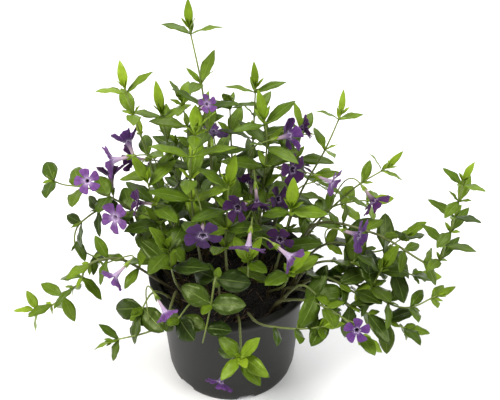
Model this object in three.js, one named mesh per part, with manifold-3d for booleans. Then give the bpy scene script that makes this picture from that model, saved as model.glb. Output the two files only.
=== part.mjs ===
// Potted atropurpurea lesser periwinkle: a plain nursery pot of soil with leafy stems and violet blooms.
// Millimetres, +Z up. The origin is on the floor under the middle of the pot.
// The photograph looks along +Y and down, with +X to its right.
import * as THREE from "three";
import { mergeVertices } from "three/addons/utils/BufferGeometryUtils.js";
import Module from "manifold-3d";

const wasm = await Module();
wasm.setup();

const gap = 0.3;
const tolerance = 0.07;

// A 13 cm nursery pot
const pot = {
  sides: 26,
  height: 100,
  rimRadius: 65,
  lipDepth: 3.6,
  lipRound: 1.5,
  lipInner: 57.5,
  lipFlare: 2,
  wallTopRadius: 58,
  wallFootRadius: 51.5,
  innerFootRadius: 48.7,
  wall: 1.5,
  footRadius: 50.4,
  footWidth: 2.9,
  footHeight: 4,
  footTop: 7,
  floor: 1.5,
  cutThrough: 8,
  notches: 6,
  notchDegrees: 15,
  firstNotchDegrees: 14.5,
  slotLength: 10,
  slotWidth: 5,
  slotRadius: 42,
};

// Soil, and the short woody crown that each plant's stems grow from
const soil = { top: 87, dip: 1.2, below: 5.8, ring: 30 };
const crown = { radius: 1.7, sides: 5, above: 4.5, below: 11 };

// Stems, leaves and blooms
const stemRadius = 1;
const stemSides = 3;
const ringStep = 33;
const ringBelow = 2;
const blade = { thickness: 0.7, firstPair: 5, wide: 18.5, full: 0.85 };

// How leaves stand, in degrees: tip leaves and others lift from square to the stem, each leaf then
// wanders a little in turn, lift and twist, and its face looks partly to the light. Arch and length
// are shares of the blade's length, and growth shrinks the pairs nearest the tip.
const habit = {
  tipLift: 74,
  lift: 26,
  wanderTurn: 24,
  wanderLift: 18,
  wanderTwist: 28,
  wanderLength: 0.16,
  arch: 0.18,
  wanderArch: 0.16,
  light: 0.6,
  growth: [0.85, 0.8, 0.95],
};

// A petal's corners: the notch beside it, its cut side and its tip, each with its angle in degrees
const petal = {
  notch: 3.6,
  notchAt: -36,
  cut: 12.4,
  cutAt: -23,
  radius: 14.6,
  tipAt: 26,
  thickness: 0.8,
  sweep: 1.3,
  slant: 2.2,
  drawnIn: 0.3,
  rise: 9,
};
const tube = { length: 11, radius: 1, throat: 2.7, lip: 1.4, sides: 4 };
const calyx = { length: 3.6, top: 1.9, foot: 0.8 };
const pedicelRadius = 0.6;
const pedicelSteps = 3;

// How far a blade stays from another plant's blades, from stems, from its own plant's blades and
// from the pot, and how far apart the points are that stand for a stem
const room = { blade: 2.9, stem: 2.3, own: 1.7, pot: 2, soil: 4.2, step: 2.5 };

// Where a blade is tested, as shares of its length and width; the first points lie near its stem
const tested = {
  rows: [0.15, 0.32, 0.49, 0.66, 0.83],
  sides: [-0.5, -0.25, 0, 0.25, 0.5],
  nearStem: 10,
};

const youngGreen = 0x8aa83a;
const midGreen = 0x64802c;
const darkGreen = 0x3d5524;
const lightViolet = 0x9a72ae;
const midViolet = 0x6f4d9a;
const darkViolet = 0x4a2b66;

// Each plant: its crown on the soil, and its stems by the points they pass on the way to the tip.
// leaf is length and width, pairs and gap count the leaf pairs down from the tip, turn starts them.
// A stem with a stub is broken off, with that much bare stem past its last pair. Lean is how far a
// hanging stem's leaves turn back up from its tip, neck a bare stretch below its first pair, and
// light how far its leaves face upward.
const plants = [
  {
    name: "tall-shoot",
    crown: [-4, 8],
    colour: midGreen,
    stems: [
      {
        path: [[-12, 8, 180], [-18, 9, 262], [-26, 14, 313]],
        leaf: [29, 10],
        pairs: 6,
        gap: 21,
        turn: 180,
        neck: 18,
      },
    ],
  },
  {
    name: "left-tall-shoot",
    crown: [-31, 3],
    colour: youngGreen,
    stems: [
      {
        path: [[-50, 4, 170], [-65, 5, 235], [-72, 5, 270]],
        leaf: [28, 11],
        pairs: 6,
        gap: 19,
        turn: 195,
      },
    ],
  },
  {
    name: "back-left-shoots",
    crown: [-20, 22],
    colour: midGreen,
    stems: [
      { path: [[-42, 30, 170], [-50, 32, 228]], leaf: [32, 12], pairs: 4, gap: 21, turn: 210 },
      { path: [[-26, 24, 180], [-34, 20, 248]], leaf: [30, 12], pairs: 4, gap: 21, turn: 255 },
    ],
  },
  {
    name: "bright-shoot",
    crown: [-18, -17],
    colour: youngGreen,
    stems: [
      {
        path: [[-25, -24, 160], [-27, -25, 216], [-22, -25, 256]],
        leaf: [32, 12],
        pairs: 6,
        gap: 20,
        turn: 20,
      },
    ],
  },
  {
    name: "back-middle-shoots",
    crown: [9, 23],
    colour: midGreen,
    stems: [
      { path: [[16, 24, 180], [19, 25, 256]], leaf: [29, 9], pairs: 4, gap: 21, turn: 0 },
      { path: [[2, 34, 170], [0, 38, 232]], leaf: [31, 12], pairs: 3, gap: 23, turn: 50 },
    ],
  },
  {
    name: "middle-shoot",
    crown: [19, -3],
    colour: midGreen,
    stems: [
      {
        path: [[23, -2, 160], [27, -1, 222], [25, 0, 246]],
        leaf: [34, 12],
        pairs: 6,
        gap: 19,
        turn: 0,
      },
    ],
  },
  {
    name: "inner-shoots",
    crown: [0, -25],
    colour: midGreen,
    stems: [
      { path: [[-3, -32, 150], [0, -33, 214]], leaf: [32, 14], pairs: 5, gap: 19, turn: 60 },
      { path: [[12, -44, 128], [14, -52, 160]], leaf: [26, 13], pairs: 2, gap: 19, turn: 10 },
    ],
  },
  {
    name: "right-tall-shoots",
    crown: [36, 8],
    colour: youngGreen,
    stems: [
      {
        path: [[50, 11, 158], [70, 15, 206], [81, 20, 236]],
        leaf: [25, 8],
        pairs: 4,
        gap: 27,
        turn: 0,
      },
      {
        path: [[70, 20, 138], [95, 22, 150], [110, 22, 150]],
        leaf: [27, 13],
        pairs: 3,
        gap: 20,
        turn: 0,
        flat: 1,
      },
    ],
  },
  {
    name: "back-right-shoots",
    crown: [25, 21],
    colour: midGreen,
    stems: [
      { path: [[44, 28, 160], [54, 32, 212]], leaf: [32, 12], pairs: 3, gap: 22, turn: 40 },
      { path: [[50, 48, 135], [70, 62, 138]], leaf: [30, 15], pairs: 2, gap: 20, turn: 0, flat: 1 },
    ],
  },
  {
    name: "left-shoot",
    crown: [-37, -9],
    colour: midGreen,
    stems: [
      {
        path: [[-50, -14, 150], [-59, -15, 202]],
        leaf: [32, 14],
        pairs: 5,
        gap: 19,
        turn: 200,
      },
    ],
  },
  {
    name: "right-inner-shoots",
    crown: [29, -17],
    colour: midGreen,
    stems: [
      { path: [[38, -22, 140], [45, -26, 186]], leaf: [32, 15], pairs: 4, gap: 20, turn: 30 },
      {
        path: [[40, -42, 122], [44, -50, 146]],
        leaf: [32, 17],
        pairs: 2,
        gap: 18,
        turn: 0,
        flat: 1,
      },
    ],
  },
  {
    name: "front-left-shoot",
    crown: [-29, -27],
    colour: darkGreen,
    stems: [
      {
        path: [[-40, -42, 125], [-44, -50, 168]],
        leaf: [34, 17],
        pairs: 3,
        gap: 18,
        turn: 180,
      },
    ],
  },
  {
    name: "right-arch",
    crown: [46, 1],
    colour: youngGreen,
    stems: [
      {
        path: [[62, 0, 140], [90, 0, 180], [115, 0, 202]],
        leaf: [24, 8],
        pairs: 4,
        gap: 18,
        turn: 0,
      },
    ],
  },
  {
    name: "right-far-stems",
    crown: [47, -9],
    colour: midGreen,
    stems: [
      {
        path: [
          [62, -8, 152], [106, -32, 166], [144, -59, 161], [151, -68, 193], [152.5, -76, 230],
          [152.6, -81, 258],
        ],
        leaf: [22, 8.5],
        pairs: 8,
        gap: 17,
        turn: 0,
      },
      {
        path: [[80, -38, 128], [126, -56, 114], [152, -60, 130]],
        leaf: [24, 9],
        pairs: 4,
        gap: 18,
        turn: 0,
        flat: 1,
      },
    ],
  },
  {
    name: "right-middle-stems",
    crown: [44, -20],
    colour: darkGreen,
    stems: [
      {
        path: [[58, -21, 131], [78, -22, 148], [108, -26, 142], [130, -26, 158]],
        leaf: [28, 15],
        pairs: 6,
        gap: 15,
        turn: 45,
        light: 0.9,
      },
      {
        path: [[68, -42, 132], [98, -52, 124], [112, -50, 150]],
        leaf: [28, 15],
        pairs: 5,
        gap: 15,
        turn: 40,
        light: 0.9,
      },
      {
        path: [[64, -30, 134], [104, -36, 138], [140, -44, 134]],
        leaf: [27, 15],
        pairs: 5,
        gap: 15,
        turn: 45,
        light: 0.9,
      },
    ],
  },
  {
    name: "right-low-stem",
    crown: [39, -29],
    colour: darkGreen,
    stems: [
      {
        path: [[44, -34, 112], [76, -55, 122], [106, -63, 112], [134, -66, 100]],
        leaf: [26, 13],
        pairs: 6,
        gap: 15,
        turn: 45,
        light: 0.9,
      },
    ],
  },
  {
    name: "right-front-stems",
    crown: [31, -38],
    colour: midGreen,
    stems: [
      {
        path: [[38, -47, 111], [60, -64, 128], [84, -75, 121], [99, -82, 106]],
        leaf: [27, 13],
        pairs: 4,
        gap: 17,
        turn: 45,
        light: 0.85,
      },
      {
        path: [[50, -52, 132], [62, -60, 133], [71, -66, 118], [73, -68, 103]],
        leaf: [29, 17],
        pairs: 3,
        gap: 20,
        turn: 0,
        flat: 1,
        stub: 7,
      },
    ],
  },
  {
    name: "left-long-stem",
    crown: [-44, 6],
    colour: midGreen,
    stems: [
      {
        path: [[-70, 3, 152], [-100, 0, 180], [-124, 0, 186], [-134, -1, 195]],
        leaf: [26, 15],
        pairs: 3,
        gap: 22,
        turn: 0,
        flat: 1,
        stub: 2,
      },
    ],
  },
  {
    name: "left-loop-stem",
    crown: [-46, -4],
    colour: darkGreen,
    stems: [
      {
        path: [[-82, -8, 166], [-110, -12, 160], [-116, -18, 142], [-98, -26, 134]],
        leaf: [21, 8.5],
        pairs: 5,
        gap: 18,
        turn: 0,
        flat: 1,
      },
    ],
  },
  {
    name: "left-far-stems",
    crown: [-43, -16],
    colour: youngGreen,
    stems: [
      {
        path: [
          [-75, -36, 141], [-92, -41, 149], [-105, -43, 143], [-112, -42, 125], [-122, -40, 115], [-133, -38, 100],
          [-145, -36, 90], [-153, -34, 88],
        ],
        leaf: [23, 9.5],
        pairs: 7,
        gap: 15,
        turn: 45,
        light: 0.8,
      },
    ],
  },
  {
    name: "left-front-stems",
    crown: [-38, -30],
    colour: darkGreen,
    stems: [
      {
        path: [[-41, -38, 111], [-47, -60, 108], [-59, -71, 104], [-87, -73, 96]],
        leaf: [22, 9],
        pairs: 3,
        gap: 13,
        turn: 45,
        light: 0.8,
      },
      {
        path: [[-56, -46, 120], [-67, -60, 111]],
        leaf: [30, 21],
        pairs: 2,
        gap: 17,
        turn: 0,
        flat: 1,
      },
    ],
  },
  {
    name: "front-drop",
    crown: [5, -43],
    colour: youngGreen,
    stems: [
      {
        path: [[7, -64, 109], [8, -76, 98], [8, -80, 87], [8, -90, 96]],
        leaf: [27, 12.5],
        pairs: 4,
        gap: 5,
        turn: -50,
      },
    ],
  },
  {
    name: "front-dark-stem",
    crown: [-8, -40],
    colour: darkGreen,
    stems: [
      {
        path: [[-8, -52, 138], [-10, -63, 150], [-13, -71, 134], [-17, -75, 112], [-20, -77, 98]],
        leaf: [26, 17],
        pairs: 4,
        gap: 22,
        turn: 0,
        flat: 1,
        stub: 9,
        lean: 50,
      },
    ],
  },
  {
    name: "front-round-stem",
    crown: [-20, -40],
    colour: darkGreen,
    stems: [
      {
        path: [[-27, -56, 120], [-41, -74, 113]],
        leaf: [28, 22],
        pairs: 2,
        gap: 20,
        turn: 20,
        flat: 1,
        stub: 2,
      },
    ],
  },
  {
    name: "front-cross-stem",
    crown: [17, -43],
    colour: midGreen,
    stems: [
      {
        path: [[14, -60, 111], [24, -70, 110], [50, -76, 112], [70, -80, 119]],
        leaf: [19, 10],
        pairs: 3,
        gap: 17,
        turn: 0,
        flat: 1,
      },
    ],
  },
  {
    name: "back-left-low",
    crown: [-24, 38],
    colour: darkGreen,
    stems: [
      {
        path: [[-44, 58, 132], [-58, 78, 118]],
        leaf: [31, 15],
        pairs: 3,
        gap: 19,
        turn: 0,
        flat: 1,
      },
      { path: [[-34, 46, 148], [-42, 54, 182]], leaf: [30, 12], pairs: 3, gap: 19, turn: 0 },
    ],
  },
  {
    name: "back-low",
    crown: [0, 43],
    colour: midGreen,
    stems: [
      { path: [[4, 68, 126], [6, 94, 104]], leaf: [31, 16], pairs: 3, gap: 19, turn: 0, flat: 1 },
      { path: [[-8, 50, 150], [-14, 60, 190]], leaf: [30, 12], pairs: 3, gap: 20, turn: 30 },
    ],
  },
  {
    name: "back-right-low",
    crown: [24, 38],
    colour: darkGreen,
    stems: [
      { path: [[36, 60, 128], [44, 82, 110]], leaf: [31, 15], pairs: 3, gap: 19, turn: 0, flat: 1 },
      { path: [[28, 46, 150], [30, 56, 186]], leaf: [30, 12], pairs: 3, gap: 20, turn: 60 },
    ],
  },
];

// Each bloom: the plant and node that carry it, its eye, and the way it faces.
// It grows on the plant's first stem unless another is given.
const blooms = [
  {
    on: "left-long-stem",
    node: 2,
    eye: [-100, -26, 211],
    face: [0.1, -0.8, 0.6],
    size: 0.68,
    cup: 0.1,
    colour: lightViolet,
  },
  {
    on: "left-shoot",
    node: 3,
    eye: [-82, -28, 178],
    face: [-0.55, -0.75, 0.35],
    size: 0.88,
    cup: 0.15,
    colour: lightViolet,
  },
  {
    on: "left-tall-shoot",
    node: 4,
    eye: [-73, 8, 219],
    face: [-0.35, 0.6, 0.7],
    cup: 0.8,
    colour: midViolet,
  },
  {
    on: "left-tall-shoot",
    node: 5,
    eye: [-81, -16, 222],
    face: [-0.97, -0.2, -0.1],
    cup: 0.5,
    colour: lightViolet,
  },
  {
    on: "back-left-shoots",
    node: 4,
    eye: [-72, 24, 191],
    face: [-0.9, 0.3, -0.15],
    size: 0.9,
    cup: 0.6,
    colour: darkViolet,
  },
  {
    on: "left-long-stem",
    node: 3,
    eye: [-90, 20, 177],
    face: [-0.1, 0.6, 0.75],
    cup: 0.7,
    colour: darkViolet,
  },
  {
    on: "tall-shoot",
    node: 4,
    eye: [-15, -4, 262],
    face: [0.45, -0.5, 0.7],
    size: 0.55,
    cup: 0.3,
    colour: lightViolet,
  },
  {
    on: "middle-shoot",
    node: 6,
    eye: [16, 10, 179],
    face: [0, 0.85, 0.5],
    size: 0.8,
    cup: 0.3,
    colour: darkViolet,
  },
  {
    on: "back-middle-shoots",
    node: 4,
    eye: [42, 4, 228],
    face: [0.78, 0.5, -0.15],
    cup: 0.4,
    colour: midViolet,
  },
  {
    on: "back-middle-shoots",
    node: 5,
    eye: [53, 20, 223],
    face: [0.95, 0.15, 0.1],
    size: 0.8,
    cup: 0.6,
    colour: darkViolet,
  },
  {
    on: "middle-shoot",
    node: 4,
    eye: [45, -6, 205],
    face: [0.7, -0.6, 0.35],
    size: 0.95,
    cup: 0.2,
    colour: darkViolet,
  },
  {
    on: "inner-shoots",
    node: 4,
    eye: [7, -44, 202],
    face: [-0.5, -0.75, 0.3],
    size: 0.85,
    cup: 0.5,
    colour: darkViolet,
  },
  {
    on: "middle-shoot",
    node: 5,
    eye: [20, -32, 197],
    face: [0.1, -0.75, -0.65],
    size: 0.85,
    cup: 0.6,
    colour: darkViolet,
  },
  {
    on: "bright-shoot",
    node: 3,
    eye: [-18, -58, 189],
    face: [0.05, -0.97, -0.1],
    cup: 0.1,
    colour: midViolet,
  },
  {
    on: "inner-shoots",
    stem: 1,
    node: 1,
    eye: [14, -62, 182],
    face: [-0.12, -0.72, -0.66],
    cup: 0.2,
    colour: lightViolet,
  },
  {
    on: "right-inner-shoots",
    node: 3,
    eye: [37, -38, 166],
    face: [-0.3, -0.85, 0.2],
    size: 0.8,
    cup: 0.2,
    colour: darkViolet,
  },
  {
    on: "inner-shoots",
    stem: 1,
    node: 1,
    eye: [42, -68, 178],
    face: [0.75, -0.35, -0.5],
    size: 0.9,
    cup: 0.6,
    colour: lightViolet,
  },
  {
    on: "right-tall-shoots",
    node: 4,
    eye: [74, -8, 195],
    face: [0.88, -0.45, -0.1],
    size: 0.82,
    cup: 0.3,
    colour: lightViolet,
  },
  {
    on: "right-arch",
    node: 4,
    eye: [105, -12, 181],
    face: [0.6, -0.35, -0.7],
    cup: 0.5,
    colour: darkViolet,
  },
  {
    on: "right-middle-stems",
    node: 5,
    eye: [92, -42, 174],
    face: [0.85, -0.5, 0.1],
    cup: 0.3,
    colour: midViolet,
  },
  {
    on: "right-front-stems",
    node: 2,
    eye: [91, -92, 128],
    face: [-0.05, -0.85, 0.5],
    size: 0.7,
    cup: 0.15,
    colour: midViolet,
  },
  {
    on: "left-far-stems",
    node: 7,
    eye: [-82, -56, 147],
    face: [-0.7, -0.46, -0.53],
    size: 0.85,
    cup: 0.5,
    colour: lightViolet,
  },
  {
    on: "left-front-stems",
    node: 3,
    eye: [-46, -80, 135],
    face: [0.5, -0.6, -0.6],
    size: 0.76,
    cup: 0.6,
    colour: lightViolet,
  },
  {
    on: "front-drop",
    node: 3,
    eye: [-7, -84, 63],
    face: [-0.4, -0.5, -0.7],
    size: 0.9,
    cup: 0.4,
    colour: midViolet,
  },
  {
    on: "left-shoot",
    node: 4,
    eye: [-65, -24, 189],
    face: [-0.93, -0.2, 0.3],
    size: 0.8,
    cup: 0.4,
    colour: darkViolet,
  },
  {
    on: "back-left-shoots",
    stem: 1,
    node: 3,
    eye: [-12, 30, 211],
    face: [0.3, 0.2, 0.93],
    size: 0.9,
    cup: 0.2,
    colour: midViolet,
  },
  {
    on: "back-right-low",
    node: 3,
    eye: [56, 84, 135],
    face: [0.6, 0.7, 0.4],
    cup: 0.1,
    colour: lightViolet,
  },
  {
    on: "back-left-low",
    node: 3,
    eye: [-66, 62, 152],
    face: [-0.7, 0.5, 0.5],
    cup: 0.1,
    colour: midViolet,
  },
  {
    on: "middle-shoot",
    node: 6,
    eye: [35, -16, 185],
    face: [0.7, -0.5, 0.5],
    size: 0.8,
    cup: 0.3,
    colour: darkViolet,
  },
];

const zAxis = new THREE.Vector3(0, 0, 1);
const rad = THREE.MathUtils.degToRad;

function vector(point) {
  return new THREE.Vector3(...point);
}

// A number from 0 to 1 that is always the same for the same seed and step
function chance(seed, step) {
  const wave = Math.sin(step * 12.9898 + seed * 78.233) * 43758.5453;
  return wave - Math.floor(wave);
}

// A closed geometry as a solid, its faces turned outwards
function solid(geometry) {
  const bare = geometry.clone();
  bare.deleteAttribute("normal");
  bare.deleteAttribute("uv");
  const merged = mergeVertices(bare, 1e-4);
  const vertProperties = new Float32Array(merged.attributes.position.array);
  const all = Array.from(merged.index.array);
  const kept = [];
  for (let i = 0; i < all.length; i += 3) {
    const [a, b, c] = all.slice(i, i + 3);
    if (a !== b && b !== c && c !== a) kept.push(a, b, c);
  }
  if (volume(vertProperties, kept) < 0) kept.reverse();
  return new wasm.Manifold(new wasm.Mesh({ numProp: 3, vertProperties, triVerts: new Uint32Array(kept) }));
}

// Six times the volume that triangles enclose, negative where they face inwards
function volume(places, triangles) {
  const corner = (i) => new THREE.Vector3().fromArray(places, 3 * i);
  let sum = 0;
  for (let i = 0; i < triangles.length; i += 3) {
    const [a, b, c] = triangles.slice(i, i + 3).map(corner);
    sum += a.dot(b.cross(c));
  }
  return sum;
}

// Several solids as one body, without sealed hollows or loose scraps, its flat neighbours merged
function join(parts) {
  const bodies = wasm.Manifold.union(parts).decompose();
  return tidy(bodies.sort((a, b) => b.volume() - a.volume())[0]);
}

function tidy(body) {
  return body.asOriginal().simplify(tolerance);
}

function meshOf(name, body, colour, roughness) {
  const { vertProperties, triVerts } = body.getMesh();
  const geometry = new THREE.BufferGeometry();
  geometry.setAttribute("position", new THREE.BufferAttribute(vertProperties, 3));
  geometry.setIndex(new THREE.BufferAttribute(triVerts, 1));
  geometry.computeVertexNormals();
  const material = new THREE.MeshStandardMaterial({ color: colour, roughness, metalness: 0 });
  const mesh = new THREE.Mesh(geometry, material);
  mesh.name = name;
  return mesh;
}

function lathe(profile, sides) {
  const points = profile.map(([r, z]) => new THREE.Vector2(r, z));
  return new THREE.LatheGeometry(points, sides).rotateX(Math.PI / 2);
}

// The pot

const lipUnder = pot.height - pot.lipDepth;
const floorTop = pot.footHeight + pot.floor;

function wallRadius(z) {
  return THREE.MathUtils.lerp(pot.wallFootRadius, pot.wallTopRadius, z / lipUnder);
}

function innerRadius(z) {
  const share = (z - floorTop) / (lipUnder - floorTop);
  return THREE.MathUtils.lerp(pot.innerFootRadius, pot.wallTopRadius - pot.wall, share);
}

function potBody() {
  const profile = [
    [0, pot.footHeight],
    [pot.footRadius - pot.footWidth, pot.footHeight],
    [pot.footRadius - pot.footWidth, 0],
    [pot.footRadius, 0],
    [wallRadius(pot.footTop), pot.footTop],
    [wallRadius(lipUnder), lipUnder],
    [pot.rimRadius, lipUnder],
    [pot.rimRadius, pot.height - pot.lipRound],
    [pot.rimRadius - pot.lipRound, pot.height],
    [pot.lipInner + pot.lipFlare, pot.height],
    [pot.lipInner, pot.height - pot.lipRound],
    [innerRadius(lipUnder), lipUnder],
    [innerRadius(floorTop), floorTop],
    [0, floorTop],
  ];
  const cuts = [];
  for (let i = 0; i < pot.notches; i += 1) {
    const angle = rad(pot.firstNotchDegrees + (360 / pot.notches) * i - 90);
    const chord = 2 * pot.footRadius * Math.sin(rad(pot.notchDegrees / 2));
    const notch = new THREE.BoxGeometry(pot.cutThrough, chord, 2 * pot.footHeight);
    notch.translate(pot.footRadius - pot.footWidth / 2, 0, 0).rotateZ(angle);
    const slot = new THREE.BoxGeometry(pot.slotWidth, pot.slotLength, pot.cutThrough);
    slot.translate(pot.slotRadius, 0, pot.footHeight + pot.floor / 2).rotateZ(angle);
    cuts.push(solid(notch), solid(slot));
  }
  return tidy(solid(lathe(profile, pot.sides)).subtract(wasm.Manifold.union(cuts)));
}

function clearOfPot(point) {
  const radius = Math.hypot(point.x, point.y);
  const overRim = point.z > pot.height + room.pot;
  const beside = radius > pot.rimRadius + room.pot;
  const underLip = radius > wallRadius(point.z) + room.pot && point.z < lipUnder - room.pot;
  const overSoil = radius < innerRadius(soil.top) - room.pot && point.z > soil.top + room.soil;
  return overRim || overSoil || (point.z > 1 && (beside || underLip));
}

// The soil, with a plain hole for each crown

function crownBody(plant, radius, below) {
  const height = crown.above + below;
  const body = new THREE.CylinderGeometry(radius, radius, height, crown.sides).rotateX(Math.PI / 2);
  return solid(body.translate(plant.crown[0], plant.crown[1], soil.top + crown.above - height / 2));
}

function soilBody() {
  const edge = innerRadius(soil.top) - gap;
  const foot = innerRadius(soil.below) - gap;
  const top = [[edge, soil.top], [soil.ring, soil.top], [0, soil.top]];
  const profile = [[0, soil.below], [foot, soil.below], ...top];
  const geometry = lathe(profile, pot.sides);
  const place = geometry.attributes.position;
  for (let i = 0; i < place.count; i += 1) {
    const [x, y, z] = [place.getX(i), place.getY(i), place.getZ(i)];
    const lump = Math.sin(x * 0.21 + 1) * Math.cos(y * 0.17) + 0.5 * Math.sin(x * 0.4 - y * 0.33);
    if (z > soil.top - 1 && Math.hypot(x, y) < edge - 1) place.setZ(i, z + soil.dip * lump);
  }
  const wide = crown.radius + gap / Math.cos(Math.PI / crown.sides);
  const holes = plants.map((plant) => crownBody(plant, wide, crown.below + gap));
  return tidy(solid(geometry).subtract(wasm.Manifold.union(holes)));
}

// Stems

function stemCurve(plant, stem) {
  const start = new THREE.Vector3(plant.crown[0], plant.crown[1], soil.top + crown.above - 1.5);
  return new THREE.CatmullRomCurve3([start, ...stem.path.map(vector)], false, "catmullrom", 0.5);
}

// Nodes are counted down from the tip, and each is given as its share of the stem's length
function nodeAt(stem, node) {
  const first = blade.firstPair + (stem.stub ?? 0);
  const neck = node > 1 ? stem.neck ?? 0 : 0;
  const fromTip = node === 0 ? ringBelow : first + stem.gap * (node - 1) + neck;
  return 1 - fromTip / stem.curve.getLength();
}

// A stem's curve, stepped so that its rings fall just below its leaf pairs, and evenly lower down
class SteppedCurve extends THREE.Curve {
  constructor(stem) {
    super();
    this.curve = stem.curve;
    const length = stem.curve.getLength();
    const lowest = nodeAt(stem, stem.pairs - 1) - ringBelow / length;
    const bare = Math.ceil((lowest * length) / ringStep);
    this.places = [];
    for (let i = 0; i < bare; i += 1) this.places.push((lowest * i) / bare);
    for (let node = stem.pairs - 1; node > 0; node -= 1) {
      this.places.push(nodeAt(stem, node) - ringBelow / length);
    }
    this.places.push(1);
  }

  placeOf(share) {
    return this.places[Math.round(share * (this.places.length - 1))];
  }

  getPointAt(share, target) {
    return this.curve.getPointAt(this.placeOf(share), target);
  }

  getTangentAt(share, target) {
    return this.curve.getTangentAt(this.placeOf(share), target);
  }
}

// Where a node lies on the straight stretch between two rings
function nodePoint(stem, node) {
  const at = nodeAt(stem, node);
  const above = stem.places.findIndex((place) => place >= at);
  const [low, high] = [stem.places[above - 1], stem.places[above]];
  return stem.curve.getPointAt(low).lerp(stem.curve.getPointAt(high), (at - low) / (high - low));
}

// Points along a rod's straight stretches
function rodPoints(stem) {
  const rings = stem.places.map((place) => stem.curve.getPointAt(place));
  return rings.slice(1).flatMap((high, i) => {
    const steps = Math.ceil(high.distanceTo(rings[i]) / room.step);
    return Array.from({ length: steps }, (_, k) => rings[i].clone().lerp(high, k / steps));
  });
}

function rod(curve, radius, steps) {
  const section = new THREE.Shape();
  for (let i = 0; i < stemSides; i += 1) {
    const angle = ((i + 0.5) / stemSides) * 2 * Math.PI;
    const [x, y] = [radius * Math.cos(angle), radius * Math.sin(angle)];
    if (i === 0) section.moveTo(x, y);
    else section.lineTo(x, y);
  }
  section.closePath();
  const settings = { steps, extrudePath: curve, bevelEnabled: false, curveSegments: 1 };
  return new THREE.ExtrudeGeometry(section, settings);
}

// Leaves

// How wide a blade is at t, from 0 at its root to 1 at its tip
function bladeWidth(width, t) {
  return width * Math.sin(Math.PI * t ** blade.full);
}

// Where one leaf stands: its root, its three directions, its sizes and how far it arches over
function leafPlace(stem, pair, side, fit) {
  const { curve } = stem;
  const draw = (step) => chance(stem.seed, pair * 10 + side * 5 + step) - 0.5;
  const root = nodePoint(stem, pair);
  const along = curve.getTangentAt(nodeAt(stem, pair));
  const [start, end] = [curve.getPointAt(0), curve.getPointAt(1)];
  const level = new THREE.Vector3(start.y - end.y, end.x - start.x, 0);
  const first = level.addScaledVector(along, -level.dot(along)).normalize();
  const second = along.clone().cross(first);
  const around = stem.turn + (stem.flat ? 0 : 90 * pair) + 180 * side;
  const turn = rad(around + habit.wanderTurn * draw(0) + fit.turn);
  const upright = pair === 0 ? habit.tipLift : habit.lift - (stem.lean ?? 0);
  const lift = rad(upright + habit.wanderLift * draw(1) + fit.lift);
  const outward = first.multiplyScalar(Math.cos(turn)).addScaledVector(second, Math.sin(turn));
  const axis = outward.clone().multiplyScalar(Math.cos(lift)).addScaledVector(along, Math.sin(lift));
  const face = along.clone().multiplyScalar(Math.cos(lift)).addScaledVector(outward, -Math.sin(lift));
  const light = stem.light ?? habit.light;
  face.multiplyScalar(1 - light).addScaledVector(zAxis, light);
  face.addScaledVector(axis, -face.dot(axis)).normalize();
  face.applyAxisAngle(axis, rad(habit.wanderTwist * draw(2)));
  const growth = habit.growth[pair] ?? 1;
  const length = stem.leaf[0] * growth * fit.size * (1 + habit.wanderLength * draw(3));
  const width = stem.leaf[1] * growth * fit.size;
  const across = axis.clone().cross(face);
  const arch = habit.arch + habit.wanderArch * draw(4);
  return { pair, root, axis, face, across, length, width, arch };
}

function onLeaf(place, t, across) {
  const point = place.root.clone().addScaledVector(place.axis, place.length * t);
  point.addScaledVector(place.across, across);
  return point.addScaledVector(place.face, -place.arch * place.length * t * t);
}

// A tip leaf has one row of corners, a slim leaf two and a broad one three
function rowsOf(place) {
  if (place.pair === 0) return [0.45];
  return place.width > blade.wide ? [0.2, 0.48, 0.76] : [0.3, 0.68];
}

// A blade is its outline, thickened, then bent along its length
function leafBody(place) {
  const rows = rowsOf(place);
  const outline = new THREE.Shape();
  outline.moveTo(0, 0);
  rows.forEach((t) => outline.lineTo(bladeWidth(place.width, t) / 2, t));
  outline.lineTo(0, 1);
  [...rows].reverse().forEach((t) => outline.lineTo(-bladeWidth(place.width, t) / 2, t));
  outline.closePath();
  const geometry = new THREE.ExtrudeGeometry(outline, { depth: 1, bevelEnabled: false, curveSegments: 1 });
  const corners = geometry.attributes.position;
  for (let i = 0; i < corners.count; i += 1) {
    const point = onLeaf(place, corners.getY(i), corners.getX(i));
    point.addScaledVector(place.face, (corners.getZ(i) - 0.5) * blade.thickness);
    corners.setXYZ(i, point.x, point.y, point.z);
  }
  return solid(geometry);
}

// A blade as the room it takes: test points over it, and the triangles of its middle surface
function leafRoom(place, owner) {
  const points = tested.rows.flatMap((t) =>
    tested.sides.map((side) => onLeaf(place, t, side * bladeWidth(place.width, t))),
  );
  points.push(onLeaf(place, 1, 0));
  const edges = [0, ...rowsOf(place), 1].map((t) => {
    const half = bladeWidth(place.width, t) / 2;
    return [onLeaf(place, t, -half), onLeaf(place, t, half)];
  });
  const faces = [];
  for (let i = 1; i < edges.length; i += 1) {
    const [left, right] = edges[i];
    if (i > 1) faces.push(new THREE.Triangle(edges[i - 1][0], edges[i - 1][1], right));
    if (i < edges.length - 1) faces.push(new THREE.Triangle(edges[i - 1][0], right, left));
  }
  const middle = onLeaf(place, 0.5, 0);
  const outer = points.slice(tested.nearStem);
  return { owner, points, outer, faces, middle, reach: place.length * 0.6 };
}

const nearest = new THREE.Vector3();

function farFrom(points, faces, distance) {
  return points.every((point) =>
    faces.every((face) => face.closestPointToPoint(point, nearest).distanceTo(point) > distance),
  );
}

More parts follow.
